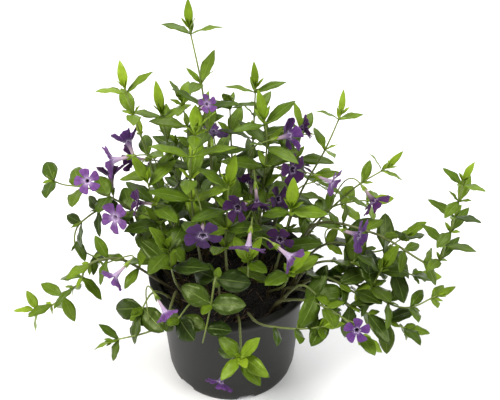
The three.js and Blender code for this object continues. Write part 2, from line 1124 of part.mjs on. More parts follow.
function fits(leaf, taken, rods) {
  if (!leaf.points.every(clearOfPot)) return false;
  for (const other of taken) {
    if (other.middle.distanceTo(leaf.middle) > other.reach + leaf.reach + room.blade) continue;
    const own = other.owner === leaf.owner;
    const distance = own ? room.own : room.blade;
    if (!farFrom(own ? leaf.outer : leaf.points, other.faces, distance)) return false;
    if (!farFrom(own ? other.outer : other.points, leaf.faces, distance)) return false;
  }
  for (const { owner, points, radius } of rods) {
    if (owner === leaf.owner) continue;
    const close = points.filter((point) => point.distanceTo(leaf.middle) < leaf.reach + 5);
    if (!farFrom(close, leaf.faces, room.stem + radius - stemRadius)) return false;
  }
  return true;
}

// The ways a leaf may be turned, lifted or shrunk to find room, the plainest first
const fitsToTry = [];
for (const size of [1, 0.86, 0.72]) {
  for (const turn of [0, 14, -14, 28, -28]) {
    for (const lift of [0, 16, -16]) fitsToTry.push({ size, turn, lift });
  }
}

// Blooms

// Five slanting petals round an eye, facing +Z, with the eye at the origin; a cupped bloom is half open
function corollaBody(size, cup) {
  const outline = new THREE.Shape();
  const { notch, cut, radius: tip } = petal;
  const corners = [[notch, petal.notchAt], [cut, petal.cutAt], [tip, petal.tipAt]];
  for (let i = 0; i < 5; i += 1) {
    corners.forEach(([radius, degrees], k) => {
      const angle = rad(degrees + 72 * i);
      const reach = size * radius * (k === 0 ? 1 : 1 - petal.drawnIn * cup);
      const [x, y] = [reach * Math.cos(angle), reach * Math.sin(angle)];
      if (i + k === 0) outline.moveTo(x, y);
      else outline.lineTo(x, y);
    });
  }
  outline.closePath();
  const settings = { depth: petal.thickness, bevelEnabled: false, curveSegments: 1 };
  const flat = new THREE.ExtrudeGeometry(outline, settings);
  const place = flat.attributes.position;
  for (let i = 0; i < place.count; i += 1) {
    const out = Math.hypot(place.getX(i), place.getY(i));
    const petalTurn = Math.atan2(place.getY(i), place.getX(i)) / rad(72);
    const across = petalTurn - Math.round(petalTurn);
    const rise = petal.sweep * (petal.slant * across - 0.5) + size * petal.rise * cup;
    if (out > size * (petal.notch + 1)) place.setZ(i, place.getZ(i) + rise);
  }
  const throat = size * tube.throat;
  const lip = [[throat, tube.lip], [0, petal.thickness + 0.1]];
  const profile = [[0, -tube.length], [tube.radius, -tube.length], ...lip];
  return join([solid(flat), solid(lathe(profile, tube.sides))]);
}

function bloomPlace(bloom) {
  const face = vector(bloom.face).normalize();
  const eye = vector(bloom.eye);
  const seat = eye.clone().addScaledVector(face, -tube.length - gap);
  return { face, eye, seat, foot: seat.clone().addScaledVector(face, -calyx.length) };
}

// The stalk leaves the stem and comes up behind the calyx along the bloom's own direction
function pedicelCurve(bloom, stem) {
  const { face, foot } = bloomPlace(bloom);
  const start = nodePoint(stem, bloom.node);
  const bend = foot.clone().addScaledVector(face, -0.5 * start.distanceTo(foot));
  return new THREE.QuadraticBezierCurve3(start, bend, foot.clone().addScaledVector(face, 0.4));
}

function calyxBody(bloom) {
  const { face, seat } = bloomPlace(bloom);
  const cup = new THREE.CylinderGeometry(calyx.top, calyx.foot, calyx.length, tube.sides);
  cup.rotateX(Math.PI / 2).translate(0, 0, -calyx.length / 2);
  cup.applyQuaternion(new THREE.Quaternion().setFromUnitVectors(zAxis, face));
  return solid(cup.translate(seat.x, seat.y, seat.z));
}

function corollaMesh(bloom, index) {
  const { face, eye } = bloomPlace(bloom);
  const name = `bloom-${String(index + 1).padStart(2, "0")}`;
  const mesh = meshOf(name, corollaBody(bloom.size ?? 1, bloom.cup), bloom.colour, 0.6);
  const spin = new THREE.Quaternion().setFromAxisAngle(zAxis, rad(72 * chance(index + 1, 3)));
  mesh.quaternion.setFromUnitVectors(zAxis, face).multiply(spin);
  mesh.position.copy(eye);
  return mesh;
}

// The room that a bloom takes: a disc of five triangles, and its tube as a rod
function bloomRoom(bloom, index) {
  const { face, eye } = bloomPlace(bloom);
  const turn = new THREE.Quaternion().setFromUnitVectors(zAxis, face);
  const radius = petal.radius * (bloom.size ?? 1);
  const rim = [];
  const points = [eye];
  for (let i = 0; i < 10; i += 1) {
    const angle = rad(36 * i);
    const out = new THREE.Vector3(Math.cos(angle), Math.sin(angle), 0).applyQuaternion(turn);
    rim.push(eye.clone().addScaledVector(out, radius));
    points.push(eye.clone().addScaledVector(out, radius), eye.clone().addScaledVector(out, radius / 2));
  }
  const faces = rim.map((point, i) => new THREE.Triangle(eye, point, rim[(i + 1) % rim.length]));
  return { owner: `bloom ${index}`, points, outer: points, faces, middle: eye, reach: radius };
}

// Everything put together: stems and blooms stand where they are given, then leaves fill in

const rods = [];
const taken = [];
let seed = 0;
for (const plant of plants) {
  plant.parts = [crownBody(plant, crown.radius, crown.below)];
  for (const stem of plant.stems) {
    seed += 1;
    stem.seed = seed;
    stem.curve = stemCurve(plant, stem);
    const stepped = new SteppedCurve(stem);
    stem.places = stepped.places;
    plant.parts.push(solid(rod(stepped, stemRadius, stem.places.length - 1)));
    rods.push({ owner: plant.name, points: rodPoints(stem), radius: stemRadius });
  }
}
blooms.forEach((bloom, index) => {
  const plant = plants.find(({ name }) => name === bloom.on);
  const curve = pedicelCurve(bloom, plant.stems[bloom.stem ?? 0]);
  plant.parts.push(solid(rod(curve, pedicelRadius, pedicelSteps)), calyxBody(bloom));
  const { eye, foot } = bloomPlace(bloom);
  const line = new THREE.LineCurve3(foot, eye);
  rods.push({ owner: plant.name, points: curve.getSpacedPoints(12), radius: pedicelRadius });
  rods.push({ owner: `bloom ${index}`, points: line.getSpacedPoints(6), radius: calyx.top });
  taken.push(bloomRoom(bloom, index));
});

const longest = Math.max(...plants.flatMap(({ stems }) => stems.map(({ pairs }) => pairs)));
for (let pair = 0; pair < longest; pair += 1) {
  for (const plant of plants) {
    for (const stem of plant.stems.filter((each) => pair < each.pairs && (pair > 0 || !each.stub))) {
      for (let side = 0; side < (pair === 0 ? 1 : 2); side += 1) {
        const places = fitsToTry.map((fit) => leafPlace(stem, pair, side, fit));
        const place = places.find((each) => fits(leafRoom(each, plant.name), taken, rods));
        if (!place) continue;
        taken.push(leafRoom(place, plant.name));
        plant.parts.push(leafBody(place));
      }
    }
  }
}

const object = new THREE.Group();
object.add(meshOf("pot", potBody(), 0x3f403d, 0.6));
object.add(meshOf("soil", soilBody(), 0x1d1811, 0.95));
plants.forEach((plant) => object.add(meshOf(plant.name, join(plant.parts), plant.colour, 0.5)));
blooms.forEach((bloom, index) => object.add(corollaMesh(bloom, index)));

export default object;
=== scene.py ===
import math

import bmesh
import bpy
from mathutils import Euler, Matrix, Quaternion, Vector
from mathutils.kdtree import KDTree


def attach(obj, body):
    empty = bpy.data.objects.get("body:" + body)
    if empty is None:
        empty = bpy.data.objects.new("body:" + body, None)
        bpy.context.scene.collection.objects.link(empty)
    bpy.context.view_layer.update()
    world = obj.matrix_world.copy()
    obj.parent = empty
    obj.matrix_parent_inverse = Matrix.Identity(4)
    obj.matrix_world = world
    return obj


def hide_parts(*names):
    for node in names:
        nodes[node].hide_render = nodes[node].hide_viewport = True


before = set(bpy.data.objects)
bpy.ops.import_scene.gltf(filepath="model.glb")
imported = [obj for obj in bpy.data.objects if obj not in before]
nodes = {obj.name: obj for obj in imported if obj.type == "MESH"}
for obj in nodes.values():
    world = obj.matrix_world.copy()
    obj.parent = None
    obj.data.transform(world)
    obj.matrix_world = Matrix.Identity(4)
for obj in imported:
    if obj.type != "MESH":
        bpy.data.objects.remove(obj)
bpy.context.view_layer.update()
mm = 0.001
upward = Vector((0, 0, 1))
print("frame loaded:", len(nodes), "nodes")


# Colours, given as the photograph shows them

def paint(red, green, blue):
    def straight(value):
        value /= 255
        return value / 12.92 if value <= 0.04045 else ((value + 0.055) / 1.055) ** 2.4

    return (straight(red), straight(green), straight(blue), 1.0)


# The same number from 0 to 1 for the same seed and step, as the model draws it
def chance(seed, step):
    wave = math.sin(step * 12.9898 + seed * 78.233) * 43758.5453
    return wave - math.floor(wave)


def mix(low, high, share):
    return low + (high - low) * share


# How leaves stand, in degrees and in shares of their length, as in the model
habit = {
    "tipLift": 74,
    "lift": 26,
    "wanderTurn": 24,
    "wanderLift": 18,
    "wanderTwist": 28,
    "wanderLength": 0.16,
    "arch": 0.18,
    "wanderArch": 0.16,
    "light": 0.6,
    "growth": (0.85, 0.8, 0.95),
}

# How the plants grow: crown on the soil, then the points that each stem passes on its way to the tip
growth = {
    "soilTop": 87,
    "crownAbove": 4.5,
    "ringBelow": 2,
    "ringStep": 33,
    "firstPair": 5,
    "bladeThickness": 0.7,
    "tubeLength": 11,
    "calyxLength": 3.6,
    "seatGap": 0.3,
}

plants = [
    ("tall-shoot", (-4, 8), "mid", [
        dict(path=[(-12, 8, 180), (-18, 9, 262), (-26, 14, 313)],
             leaf=(29, 10), pairs=6, gap=21, turn=180, neck=18),
    ]),
    ("left-tall-shoot", (-31, 3), "young", [
        dict(path=[(-50, 4, 170), (-65, 5, 235), (-72, 5, 270)], leaf=(28, 11), pairs=6, gap=19, turn=195),
    ]),
    ("back-left-shoots", (-20, 22), "mid", [
        dict(path=[(-42, 30, 170), (-50, 32, 228)], leaf=(32, 12), pairs=4, gap=21, turn=210),
        dict(path=[(-26, 24, 180), (-34, 20, 248)], leaf=(30, 12), pairs=4, gap=21, turn=255),
    ]),
    ("bright-shoot", (-18, -17), "young", [
        dict(path=[(-25, -24, 160), (-27, -25, 216), (-22, -25, 256)],
             leaf=(32, 12), pairs=6, gap=20, turn=20),
    ]),
    ("back-middle-shoots", (9, 23), "mid", [
        dict(path=[(16, 24, 180), (19, 25, 256)], leaf=(29, 9), pairs=4, gap=21, turn=0),
        dict(path=[(2, 34, 170), (0, 38, 232)], leaf=(31, 12), pairs=3, gap=23, turn=50),
    ]),
    ("middle-shoot", (19, -3), "mid", [
        dict(path=[(23, -2, 160), (27, -1, 222), (25, 0, 246)], leaf=(34, 12), pairs=6, gap=19, turn=0),
    ]),
    ("inner-shoots", (0, -25), "mid", [
        dict(path=[(-3, -32, 150), (0, -33, 214)], leaf=(32, 14), pairs=5, gap=19, turn=60),
        dict(path=[(12, -44, 128), (14, -52, 160)], leaf=(26, 13), pairs=2, gap=19, turn=10),
    ]),
    ("right-tall-shoots", (36, 8), "young", [
        dict(path=[(50, 11, 158), (70, 15, 206), (81, 20, 236)], leaf=(25, 8), pairs=4, gap=27, turn=0),
        dict(path=[(70, 20, 138), (95, 22, 150), (110, 22, 150)],
             leaf=(27, 13), pairs=3, gap=20, turn=0, flat=1),
    ]),
    ("back-right-shoots", (25, 21), "mid", [
        dict(path=[(44, 28, 160), (54, 32, 212)], leaf=(32, 12), pairs=3, gap=22, turn=40),
        dict(path=[(50, 48, 135), (70, 62, 138)], leaf=(30, 15), pairs=2, gap=20, turn=0, flat=1),
    ]),
    ("left-shoot", (-37, -9), "mid", [
        dict(path=[(-50, -14, 150), (-59, -15, 202)], leaf=(32, 14), pairs=5, gap=19, turn=200),
    ]),
    ("right-inner-shoots", (29, -17), "mid", [
        dict(path=[(38, -22, 140), (45, -26, 186)], leaf=(32, 15), pairs=4, gap=20, turn=30),
        dict(path=[(40, -42, 122), (44, -50, 146)], leaf=(32, 17), pairs=2, gap=18, turn=0, flat=1),
    ]),
    ("front-left-shoot", (-29, -27), "dark", [
        dict(path=[(-40, -42, 125), (-44, -50, 168)], leaf=(34, 17), pairs=3, gap=18, turn=180),
    ]),
    ("right-arch", (46, 1), "young", [
        dict(path=[(62, 0, 140), (90, 0, 180), (115, 0, 202)], leaf=(24, 8), pairs=4, gap=18, turn=0),
    ]),
    ("right-far-stems", (47, -9), "mid", [
        dict(path=[(62, -8, 152), (106, -32, 166), (144, -59, 161), (151, -68, 193), (152.5, -76, 230),
                   (152.6, -81, 258)],
             leaf=(22, 8.5), pairs=8, gap=17, turn=0),
        dict(path=[(80, -38, 128), (126, -56, 114), (152, -60, 130)],
             leaf=(24, 9), pairs=4, gap=18, turn=0, flat=1),
    ]),
    ("right-middle-stems", (44, -20), "dark", [
        dict(path=[(58, -21, 131), (78, -22, 148), (108, -26, 142), (130, -26, 158)],
             leaf=(28, 15), pairs=6, gap=15, turn=45, light=0.9),
        dict(path=[(68, -42, 132), (98, -52, 124), (112, -50, 150)],
             leaf=(28, 15), pairs=5, gap=15, turn=40, light=0.9),
        dict(path=[(64, -30, 134), (104, -36, 138), (140, -44, 134)],
             leaf=(27, 15), pairs=5, gap=15, turn=45, light=0.9),
    ]),
    ("right-low-stem", (39, -29), "dark", [
        dict(path=[(44, -34, 112), (76, -55, 122), (106, -63, 112), (134, -66, 100)],
             leaf=(26, 13), pairs=6, gap=15, turn=45, light=0.9),
    ]),
    ("right-front-stems", (31, -38), "mid", [
        dict(path=[(38, -47, 111), (60, -64, 128), (84, -75, 121), (99, -82, 106)],
             leaf=(27, 13), pairs=4, gap=17, turn=45, light=0.85),
        dict(path=[(50, -52, 132), (62, -60, 133), (71, -66, 118), (73, -68, 103)],
             leaf=(29, 17), pairs=3, gap=20, turn=0, flat=1, stub=7),
    ]),
    ("left-long-stem", (-44, 6), "mid", [
        dict(path=[(-70, 3, 152), (-100, 0, 180), (-124, 0, 186), (-134, -1, 195)],
             leaf=(26, 15), pairs=3, gap=22, turn=0, flat=1, stub=2),
    ]),
    ("left-loop-stem", (-46, -4), "dark", [
        dict(path=[(-82, -8, 166), (-110, -12, 160), (-116, -18, 142), (-98, -26, 134)],
             leaf=(21, 8.5), pairs=5, gap=18, turn=0, flat=1),
    ]),
    ("left-far-stems", (-43, -16), "young", [
        dict(path=[(-75, -36, 141), (-92, -41, 149), (-105, -43, 143), (-112, -42, 125), (-122, -40, 115),
                   (-133, -38, 100), (-145, -36, 90), (-153, -34, 88)],
             leaf=(23, 9.5), pairs=7, gap=15, turn=45, light=0.8),
    ]),
    ("left-front-stems", (-38, -30), "dark", [
        dict(path=[(-41, -38, 111), (-47, -60, 108), (-59, -71, 104), (-87, -73, 96)],
             leaf=(22, 9), pairs=3, gap=13, turn=45, light=0.8),
        # Its round front leaves take the darkest leaf colour: partly their age, partly painted shade where they
        # lie low under the plant
        dict(path=[(-56, -46, 120), (-67, -60, 111)], leaf=(30, 21), pairs=2, gap=17, turn=0, flat=1, darkestAge=1),
    ]),
    ("front-drop", (5, -43), "young", [
        dict(path=[(7, -64, 109), (8, -76, 98), (8, -80, 87), (8, -90, 96)],
             leaf=(27, 12.5), pairs=4, gap=5, turn=-50, bare=1),
    ]),
    ("front-dark-stem", (-8, -40), "dark", [
        dict(path=[(-8, -52, 138), (-10, -63, 150), (-13, -71, 134), (-17, -75, 112), (-20, -77, 98)],
             leaf=(26, 17), pairs=4, gap=22, turn=0, flat=1, stub=9, lean=50),
    ]),
    ("front-round-stem", (-20, -40), "dark", [
        dict(path=[(-27, -56, 120), (-41, -74, 113)],
             leaf=(28, 22), pairs=2, gap=20, turn=20, flat=1, stub=2),
    ]),
    ("front-cross-stem", (17, -43), "mid", [
        dict(path=[(14, -60, 111), (24, -70, 110), (50, -76, 112), (70, -80, 119)],
             leaf=(19, 10), pairs=3, gap=17, turn=0, flat=1),
    ]),
    ("back-left-low", (-24, 38), "dark", [
        dict(path=[(-44, 58, 132), (-58, 78, 118)], leaf=(31, 15), pairs=3, gap=19, turn=0, flat=1),
        dict(path=[(-34, 46, 148), (-42, 54, 182)], leaf=(30, 12), pairs=3, gap=19, turn=0),
    ]),
    ("back-low", (0, 43), "mid", [
        dict(path=[(4, 68, 126), (6, 94, 104)], leaf=(31, 16), pairs=3, gap=19, turn=0, flat=1),
        dict(path=[(-8, 50, 150), (-14, 60, 190)], leaf=(30, 12), pairs=3, gap=20, turn=30),
    ]),
    ("back-right-low", (24, 38), "dark", [
        dict(path=[(36, 60, 128), (44, 82, 110)], leaf=(31, 15), pairs=3, gap=19, turn=0, flat=1),
        dict(path=[(28, 46, 150), (30, 56, 186)], leaf=(30, 12), pairs=3, gap=20, turn=60),
    ]),
]

# Plant, stem and node that carry each bloom, its eye, the way it faces, its shade and its size
blooms = [
    ("left-long-stem", 0, 2, (-100, -26, 211), (0.1, -0.8, 0.6), "light", 0.68, 0.1),
    ("left-shoot", 0, 3, (-82, -28, 178), (-0.55, -0.75, 0.35), "light", 0.88, 0.15),
    ("left-tall-shoot", 0, 4, (-73, 8, 219), (-0.35, 0.6, 0.7), "mid", 1, 0.8),
    ("left-tall-shoot", 0, 5, (-81, -16, 222), (-0.97, -0.2, -0.1), "light", 1, 0.5),
    ("back-left-shoots", 0, 4, (-72, 24, 191), (-0.9, 0.3, -0.15), "dark", 0.9, 0.6),
    ("left-long-stem", 0, 3, (-90, 20, 177), (-0.1, 0.6, 0.75), "dark", 1, 0.7),
    ("tall-shoot", 0, 4, (-15, -4, 262), (0.45, -0.5, 0.7), "light", 0.55, 0.3),
    ("middle-shoot", 0, 6, (16, 10, 179), (0, 0.85, 0.5), "dark", 0.8, 0.3),
    ("back-middle-shoots", 0, 4, (42, 4, 228), (0.78, 0.5, -0.15), "mid", 1, 0.4),
    ("back-middle-shoots", 0, 5, (53, 20, 223), (0.95, 0.15, 0.1), "dark", 0.8, 0.6),
    ("middle-shoot", 0, 4, (45, -6, 205), (0.7, -0.6, 0.35), "dark", 0.95, 0.2),
    ("inner-shoots", 0, 4, (7, -44, 202), (-0.5, -0.75, 0.3), "dark", 0.85, 0.5),
    ("middle-shoot", 0, 5, (20, -32, 197), (0.1, -0.75, -0.65), "dark", 0.85, 0.6),
    ("bright-shoot", 0, 3, (-18, -58, 189), (0.05, -0.97, -0.1), "mid", 1, 0.1),
    ("inner-shoots", 1, 1, (14, -62, 182), (-0.12, -0.72, -0.66), "light", 1, 0.2),
    ("right-inner-shoots", 0, 3, (37, -38, 166), (-0.3, -0.85, 0.2), "dark", 0.8, 0.2),
    ("inner-shoots", 1, 1, (42, -68, 178), (0.75, -0.35, -0.5), "light", 0.9, 0.6),
    ("right-tall-shoots", 0, 4, (74, -8, 195), (0.88, -0.45, -0.1), "light", 0.82, 0.3),
    ("right-arch", 0, 4, (105, -12, 181), (0.6, -0.35, -0.7), "dark", 1, 0.5),
    ("right-middle-stems", 0, 5, (92, -42, 174), (0.85, -0.5, 0.1), "mid", 1, 0.3),
    ("right-front-stems", 0, 2, (91, -92, 128), (-0.05, -0.85, 0.5), "mid", 0.7, 0.15),
    ("left-far-stems", 0, 7, (-82, -56, 147), (-0.7, -0.46, -0.53), "light", 0.85, 0.5),
    ("left-front-stems", 0, 3, (-46, -80, 135), (0.5, -0.6, -0.6), "light", 0.76, 0.6),
    ("front-drop", 0, 3, (-7, -84, 63), (-0.4, -0.5, -0.7), "mid", 0.9, 0.4),
    ("left-shoot", 0, 4, (-65, -24, 189), (-0.93, -0.2, 0.3), "dark", 0.8, 0.4),
    ("back-left-shoots", 1, 3, (-12, 30, 211), (0.3, 0.2, 0.93), "mid", 0.9, 0.2),
    ("back-right-low", 0, 3, (56, 84, 135), (0.6, 0.7, 0.4), "light", 1, 0.1),
    ("back-left-low", 0, 3, (-66, 62, 152), (-0.7, 0.5, 0.5), "mid", 1, 0.1),
    ("middle-shoot", 0, 6, (35, -16, 185), (0.7, -0.5, 0.5), "dark", 0.8, 0.3),
]


# A stem's smooth curve through its points, walked by length
class StemLine:
    divisions = 200

    def __init__(self, crown, path):
        start = (crown[0], crown[1], growth["soilTop"] + growth["crownAbove"] - 1.5)
        self.points = [Vector(p) for p in [start, *path]]
        self.reach = [0.0]
        before = self.spot(0)
        for i in range(1, self.divisions + 1):
            here = self.spot(i / self.divisions)
            self.reach.append(self.reach[-1] + (here - before).length)
            before = here
        self.length = self.reach[-1]

    def spot(self, t):
        p = self.points
        at = (len(p) - 1) * t
        i = min(int(at), len(p) - 2)
        w = at - i
        a = p[i - 1] if i > 0 else p[0] * 2 - p[1]
        b, c = p[i], p[i + 1]
        d = p[i + 2] if i + 2 < len(p) else p[-1] * 2 - p[-2]
        leave, arrive = (c - a) / 2, (d - b) / 2
        square, cube = w * w, w * w * w
        bend = (c - b) * 3 - leave * 2 - arrive
        curl = (b - c) * 2 + leave + arrive
        return b + leave * w + bend * square + curl * cube

    def share(self, u):
        goal = u * self.length
        low, high = 0, self.divisions
        while low < high - 1:
            middle = (low + high) // 2
            if self.reach[middle] <= goal:
                low = middle
            else:
                high = middle
        part = (goal - self.reach[low]) / (self.reach[low + 1] - self.reach[low])
        return (low + part) / self.divisions

    def point(self, u):
        return self.spot(self.share(u))

    def along(self, u):
        t = self.share(u)
        return (self.spot(min(1, t + 1e-4)) - self.spot(max(0, t - 1e-4))).normalized()


def nodeAt(stem, node):
    first = growth["firstPair"] + stem.get("stub", 0)
    down = growth["ringBelow"] if node == 0 else first + stem["gap"] * (node - 1)
    down += stem.get("neck", 0) if node > 1 else 0
    return 1 - down / stem["line"].length


# Where a node lies on the straight stretch between two rings of the model's stem
def nodePoint(stem, node):
    line = stem["line"]
    ring = growth["ringBelow"] / line.length
    lowest = nodeAt(stem, stem["pairs"] - 1) - ring
    bare = math.ceil(lowest * line.length / growth["ringStep"])
    places = [lowest * i / bare for i in range(bare)]
    places += [nodeAt(stem, each) - ring for each in range(stem["pairs"] - 1, 0, -1)] + [1]
    at = nodeAt(stem, node)
    above = next(i for i, place in enumerate(places) if place >= at)
    low, high = places[above - 1], places[above]
    return line.point(low).lerp(line.point(high), (at - low) / (high - low))


# Where one leaf stands, for one way of turning, lifting and shrinking it
def leafPlace(stem, pair, side, size, turnBy, liftBy):
    line = stem["line"]

    def draw(step):
        return chance(stem["seed"], pair * 10 + side * 5 + step) - 0.5

    root = nodePoint(stem, pair) if pair < stem["pairs"] else line.point(nodeAt(stem, pair))
    along = line.along(nodeAt(stem, pair))
    start, end = line.point(0), line.point(1)
    level = Vector((start.y - end.y, end.x - start.x, 0))
    first = (level - along * level.dot(along)).normalized()
    second = along.cross(first)
    quarter = 0 if stem.get("flat") else 90 * pair
    turn = math.radians(stem["turn"] + quarter + 180 * side + habit["wanderTurn"] * draw(0) + turnBy)
    upright = habit["tipLift"] if pair == 0 else habit["lift"] - stem.get("lean", 0)
    lift = math.radians(upright + habit["wanderLift"] * draw(1) + liftBy)
    outward = first * math.cos(turn) + second * math.sin(turn)
    axis = outward * math.cos(lift) + along * math.sin(lift)
    face = along * math.cos(lift) - outward * math.sin(lift)
    light = stem.get("light", habit["light"])
    face = face * (1 - light) + upward * light
    face = (face - axis * face.dot(axis)).normalized()
    face = Quaternion(axis, math.radians(habit["wanderTwist"] * draw(2))) @ face
    grown = habit["growth"][pair] if pair < 3 else 1
    length = stem["leaf"][0] * grown * size * (1 + habit["wanderLength"] * draw(3))
    width = stem["leaf"][1] * grown * size
    arch = habit["arch"] + habit["wanderArch"] * draw(4)
    return dict(root=root, axis=axis, face=face, length=length, width=width, arch=arch, pair=pair)


def leafTip(place):
    return place["root"] + (place["axis"] - place["face"] * place["arch"]) * place["length"]


fitsToTry = [(s, t, l) for s in (1, 0.86, 0.72) for t in (0, 14, -14, 28, -28) for l in (0, 16, -16)]


# How far, in millimetres, a leaf's tip may lie from the model's
furthestMiss = 0.12


# The fit that the model chose for a leaf is the one whose tip lies on a corner of the model's own leaf
def chosenPlace(stem, pair, side, corners):
    best = (math.inf, None)
    for fit in fitsToTry:
        place = leafPlace(stem, pair, side, *fit)
        tip = leafTip(place) + place["face"] * (growth["bladeThickness"] / 2)
        best = min(best, (corners.find(tip)[2], fit), key=lambda found: found[0])
    return best


seed = 0
found = 0
worst = 0
for name, crown, shade, stems in plants:
    mesh = nodes[name].data
    corners = KDTree(len(mesh.vertices))
    for i, vertex in enumerate(mesh.vertices):
        corners.insert(vertex.co / mm, i)
    corners.balance()
    for stem in stems:
        seed += 1
        stem["seed"] = seed
        stem["line"] = StemLine(crown, stem["path"])
        stem["leaves"] = []
        for pair in range(1 if "stub" in stem else 0, stem["pairs"]):
            for side in range(1 if pair == 0 else 2):
                miss, fit = chosenPlace(stem, pair, side, corners)
                if miss < furthestMiss:
                    stem["leaves"].append(leafPlace(stem, pair, side, *fit))
                    found += 1
                    worst = max(worst, miss)
print("leaves found:", found, "worst miss", round(worst, 3), "mm")


# Geometry node trees, built socket by socket

class Growth:
    def __init__(self, name, inputs):
        self.tree = bpy.data.node_groups.new(name, "GeometryNodeTree")
        face = self.tree.interface
        self.sockets = {}
        face.new_socket("Geometry", in_out="INPUT", socket_type="NodeSocketGeometry")
        for label, kind in inputs.items():
            socket = face.new_socket(label, in_out="INPUT", socket_type="NodeSocket" + kind)
            self.sockets[label] = socket.identifier
        face.new_socket("Geometry", in_out="OUTPUT", socket_type="NodeSocketGeometry")
        self.entry = self.tree.nodes.new("NodeGroupInput")
        self.exit = self.tree.nodes.new("NodeGroupOutput")

    def given(self, label):
        return self.entry.outputs[label]

    # A node of one kind, its inputs given in order; None leaves one as it is
    def add(self, kind, *inputs, output=0, **settings):
        node = self.tree.nodes.new(kind)
        for key, value in settings.items():
            setattr(node, key, value)
        for socket, value in zip([each for each in node.inputs if each.enabled], inputs):
            if value is None:
                continue
            if isinstance(value, bpy.types.NodeSocket):
                self.tree.links.new(value, socket)
            else:
                socket.default_value = value
        return node.outputs[output]

    def maths(self, operation, *values):
        return self.add("ShaderNodeMath", *values, operation=operation)

    def vector(self, operation, *values):
        return self.add("ShaderNodeVectorMath", *values, operation=operation)

    def scaled(self, vector, factor):
        node = self.tree.nodes.new("ShaderNodeVectorMath")
        node.operation = "SCALE"
        self.tree.links.new(vector, node.inputs["Vector"])
        self.tree.links.new(factor, node.inputs["Scale"])
        return node.outputs["Vector"]

    def number(self, name):
        return self.add("GeometryNodeInputNamedAttribute", name, data_type="FLOAT")

    def arrow(self, name):
        return self.add("GeometryNodeInputNamedAttribute", name, data_type="FLOAT_VECTOR")

    def store(self, geometry, name, value, selection=None, domain="POINT", kind="FLOAT"):
        return self.add("GeometryNodeStoreNamedAttribute", geometry, selection, name, value,
                        data_type=kind, domain=domain)

    def finish(self, geometry, material):
        real = self.add("GeometryNodeRealizeInstances", geometry)
        shaded = self.add("GeometryNodeSetShadeSmooth", real, None, True)
        done = self.add("GeometryNodeSetMaterial", shaded, None, material)
        self.tree.links.new(done, self.exit.inputs[0])


# A mesh of points or short lines that carries what a tree needs to know
def carrier(name, points, edges, numbers, arrows):
    mesh = bpy.data.meshes.new(name)
    mesh.from_pydata([tuple(Vector(p) * mm) for p in points], edges, [])
    for label, values in numbers.items():
        mesh.attributes.new(label, "FLOAT", "POINT").data.foreach_set("value", values)
    for label, values in arrows.items():
        flat = [part for value in values for part in value]
        mesh.attributes.new(label, "FLOAT_VECTOR", "POINT").data.foreach_set("vector", flat)
    piece = bpy.data.objects.new(name, mesh)
    bpy.context.scene.collection.objects.link(piece)
    return piece


# The tree's result as a plain mesh on the same object
def grow(piece, growthTree, values):
    modifier = piece.modifiers.new("growth", "NODES")
    modifier.node_group = growthTree.tree
    for label, value in values.items():
        modifier[growthTree.sockets[label]] = value
    bpy.context.view_layer.update()
    seen = piece.evaluated_get(bpy.context.evaluated_depsgraph_get())
    mesh = bpy.data.meshes.new_from_object(seen)
    mesh.name = piece.name
    piece.modifiers.clear()
    piece.data = mesh
    return piece


def joined(name, pieces):
    for other in bpy.context.selected_objects:
        other.select_set(False)
    for piece in pieces:
        piece.select_set(True)
    bpy.context.view_layer.objects.active = pieces[0]
    bpy.ops.object.join()
    pieces[0].name = name
    pieces[0].data.name = name
    return pieces[0]


# Materials

def material(name):
    made = bpy.data.materials.new(name)
    made.use_nodes = True
    return made, made.node_tree, made.node_tree.nodes["Principled BSDF"]


def put(tree, kind, *inputs, output=0, **settings):
    node = tree.nodes.new(kind)
    for key, value in settings.items():
        setattr(node, key, value)
    for socket, value in zip([each for each in node.inputs if each.enabled], inputs):
        if value is None:
            continue
        if isinstance(value, bpy.types.NodeSocket):
            tree.links.new(value, socket)
        else:
            socket.default_value = value
    return node.outputs[output]


def ramp(tree, factor, stops):
    node = tree.nodes.new("ShaderNodeValToRGB")
    tree.links.new(factor, node.inputs["Fac"])
    marks = node.color_ramp.elements
    while len(marks) < len(stops):
        marks.new(0.5)
    for mark, (place, colour) in zip(marks, stops):
        mark.position = place
        mark.color = colour
    return node.outputs["Color"]


def blend(tree, factor, low, high, how="MIX"):
    node = tree.nodes.new("ShaderNodeMix")
    node.data_type = "RGBA"
    node.blend_type = how
    for index, value in ((0, factor), (6, low), (7, high)):
        if isinstance(value, bpy.types.NodeSocket):
            tree.links.new(value, node.inputs[index])
        else:
            node.inputs[index].default_value = value
    return node.outputs[2]


def attribute(tree, name):
    node = tree.nodes.new("ShaderNodeAttribute")
    node.attribute_name = name
    return node.outputs["Fac"]


def grain(tree, scale, detail=3.0):
    place = put(tree, "ShaderNodeTexCoord", output=3)
    return put(tree, "ShaderNodeTexNoise", place, scale, detail)


def bump(tree, shader, height, strength, distance):
    node = tree.nodes.new("ShaderNodeBump")
    node.inputs["Strength"].default_value = strength
    node.inputs["Distance"].default_value = distance
    tree.links.new(height, node.inputs["Height"])
    tree.links.new(node.outputs["Normal"], shader.inputs["Normal"])


leafColours = {
    "young": [(0.0, paint(124, 148, 30)), (0.35, paint(102, 127, 23)), (1.0, paint(76, 100, 18))],
    "mid": [(0.0, paint(112, 138, 27)), (0.35, paint(79, 104, 18)), (1.0, paint(53, 75, 13))],
    "dark": [(0.0, paint(104, 129, 26)), (0.35, paint(54, 74, 14)), (1.0, paint(31, 48, 11))],
}
leafFinish = {
    "roughness": 0.34,
    "specular": 0.28,
    "sheenTint": (0.8, 0.95, 0.45, 1),
    "pale": {"young": 0.2, "mid": 0.2, "dark": 0.1},
    "veinStep": 11,
    "veinLean": 3.6,
    "sideVein": 0.2,
    "midrib": 0.06,
    "veinStrength": 0.34,
    "veinHeight": 0.0003,
}


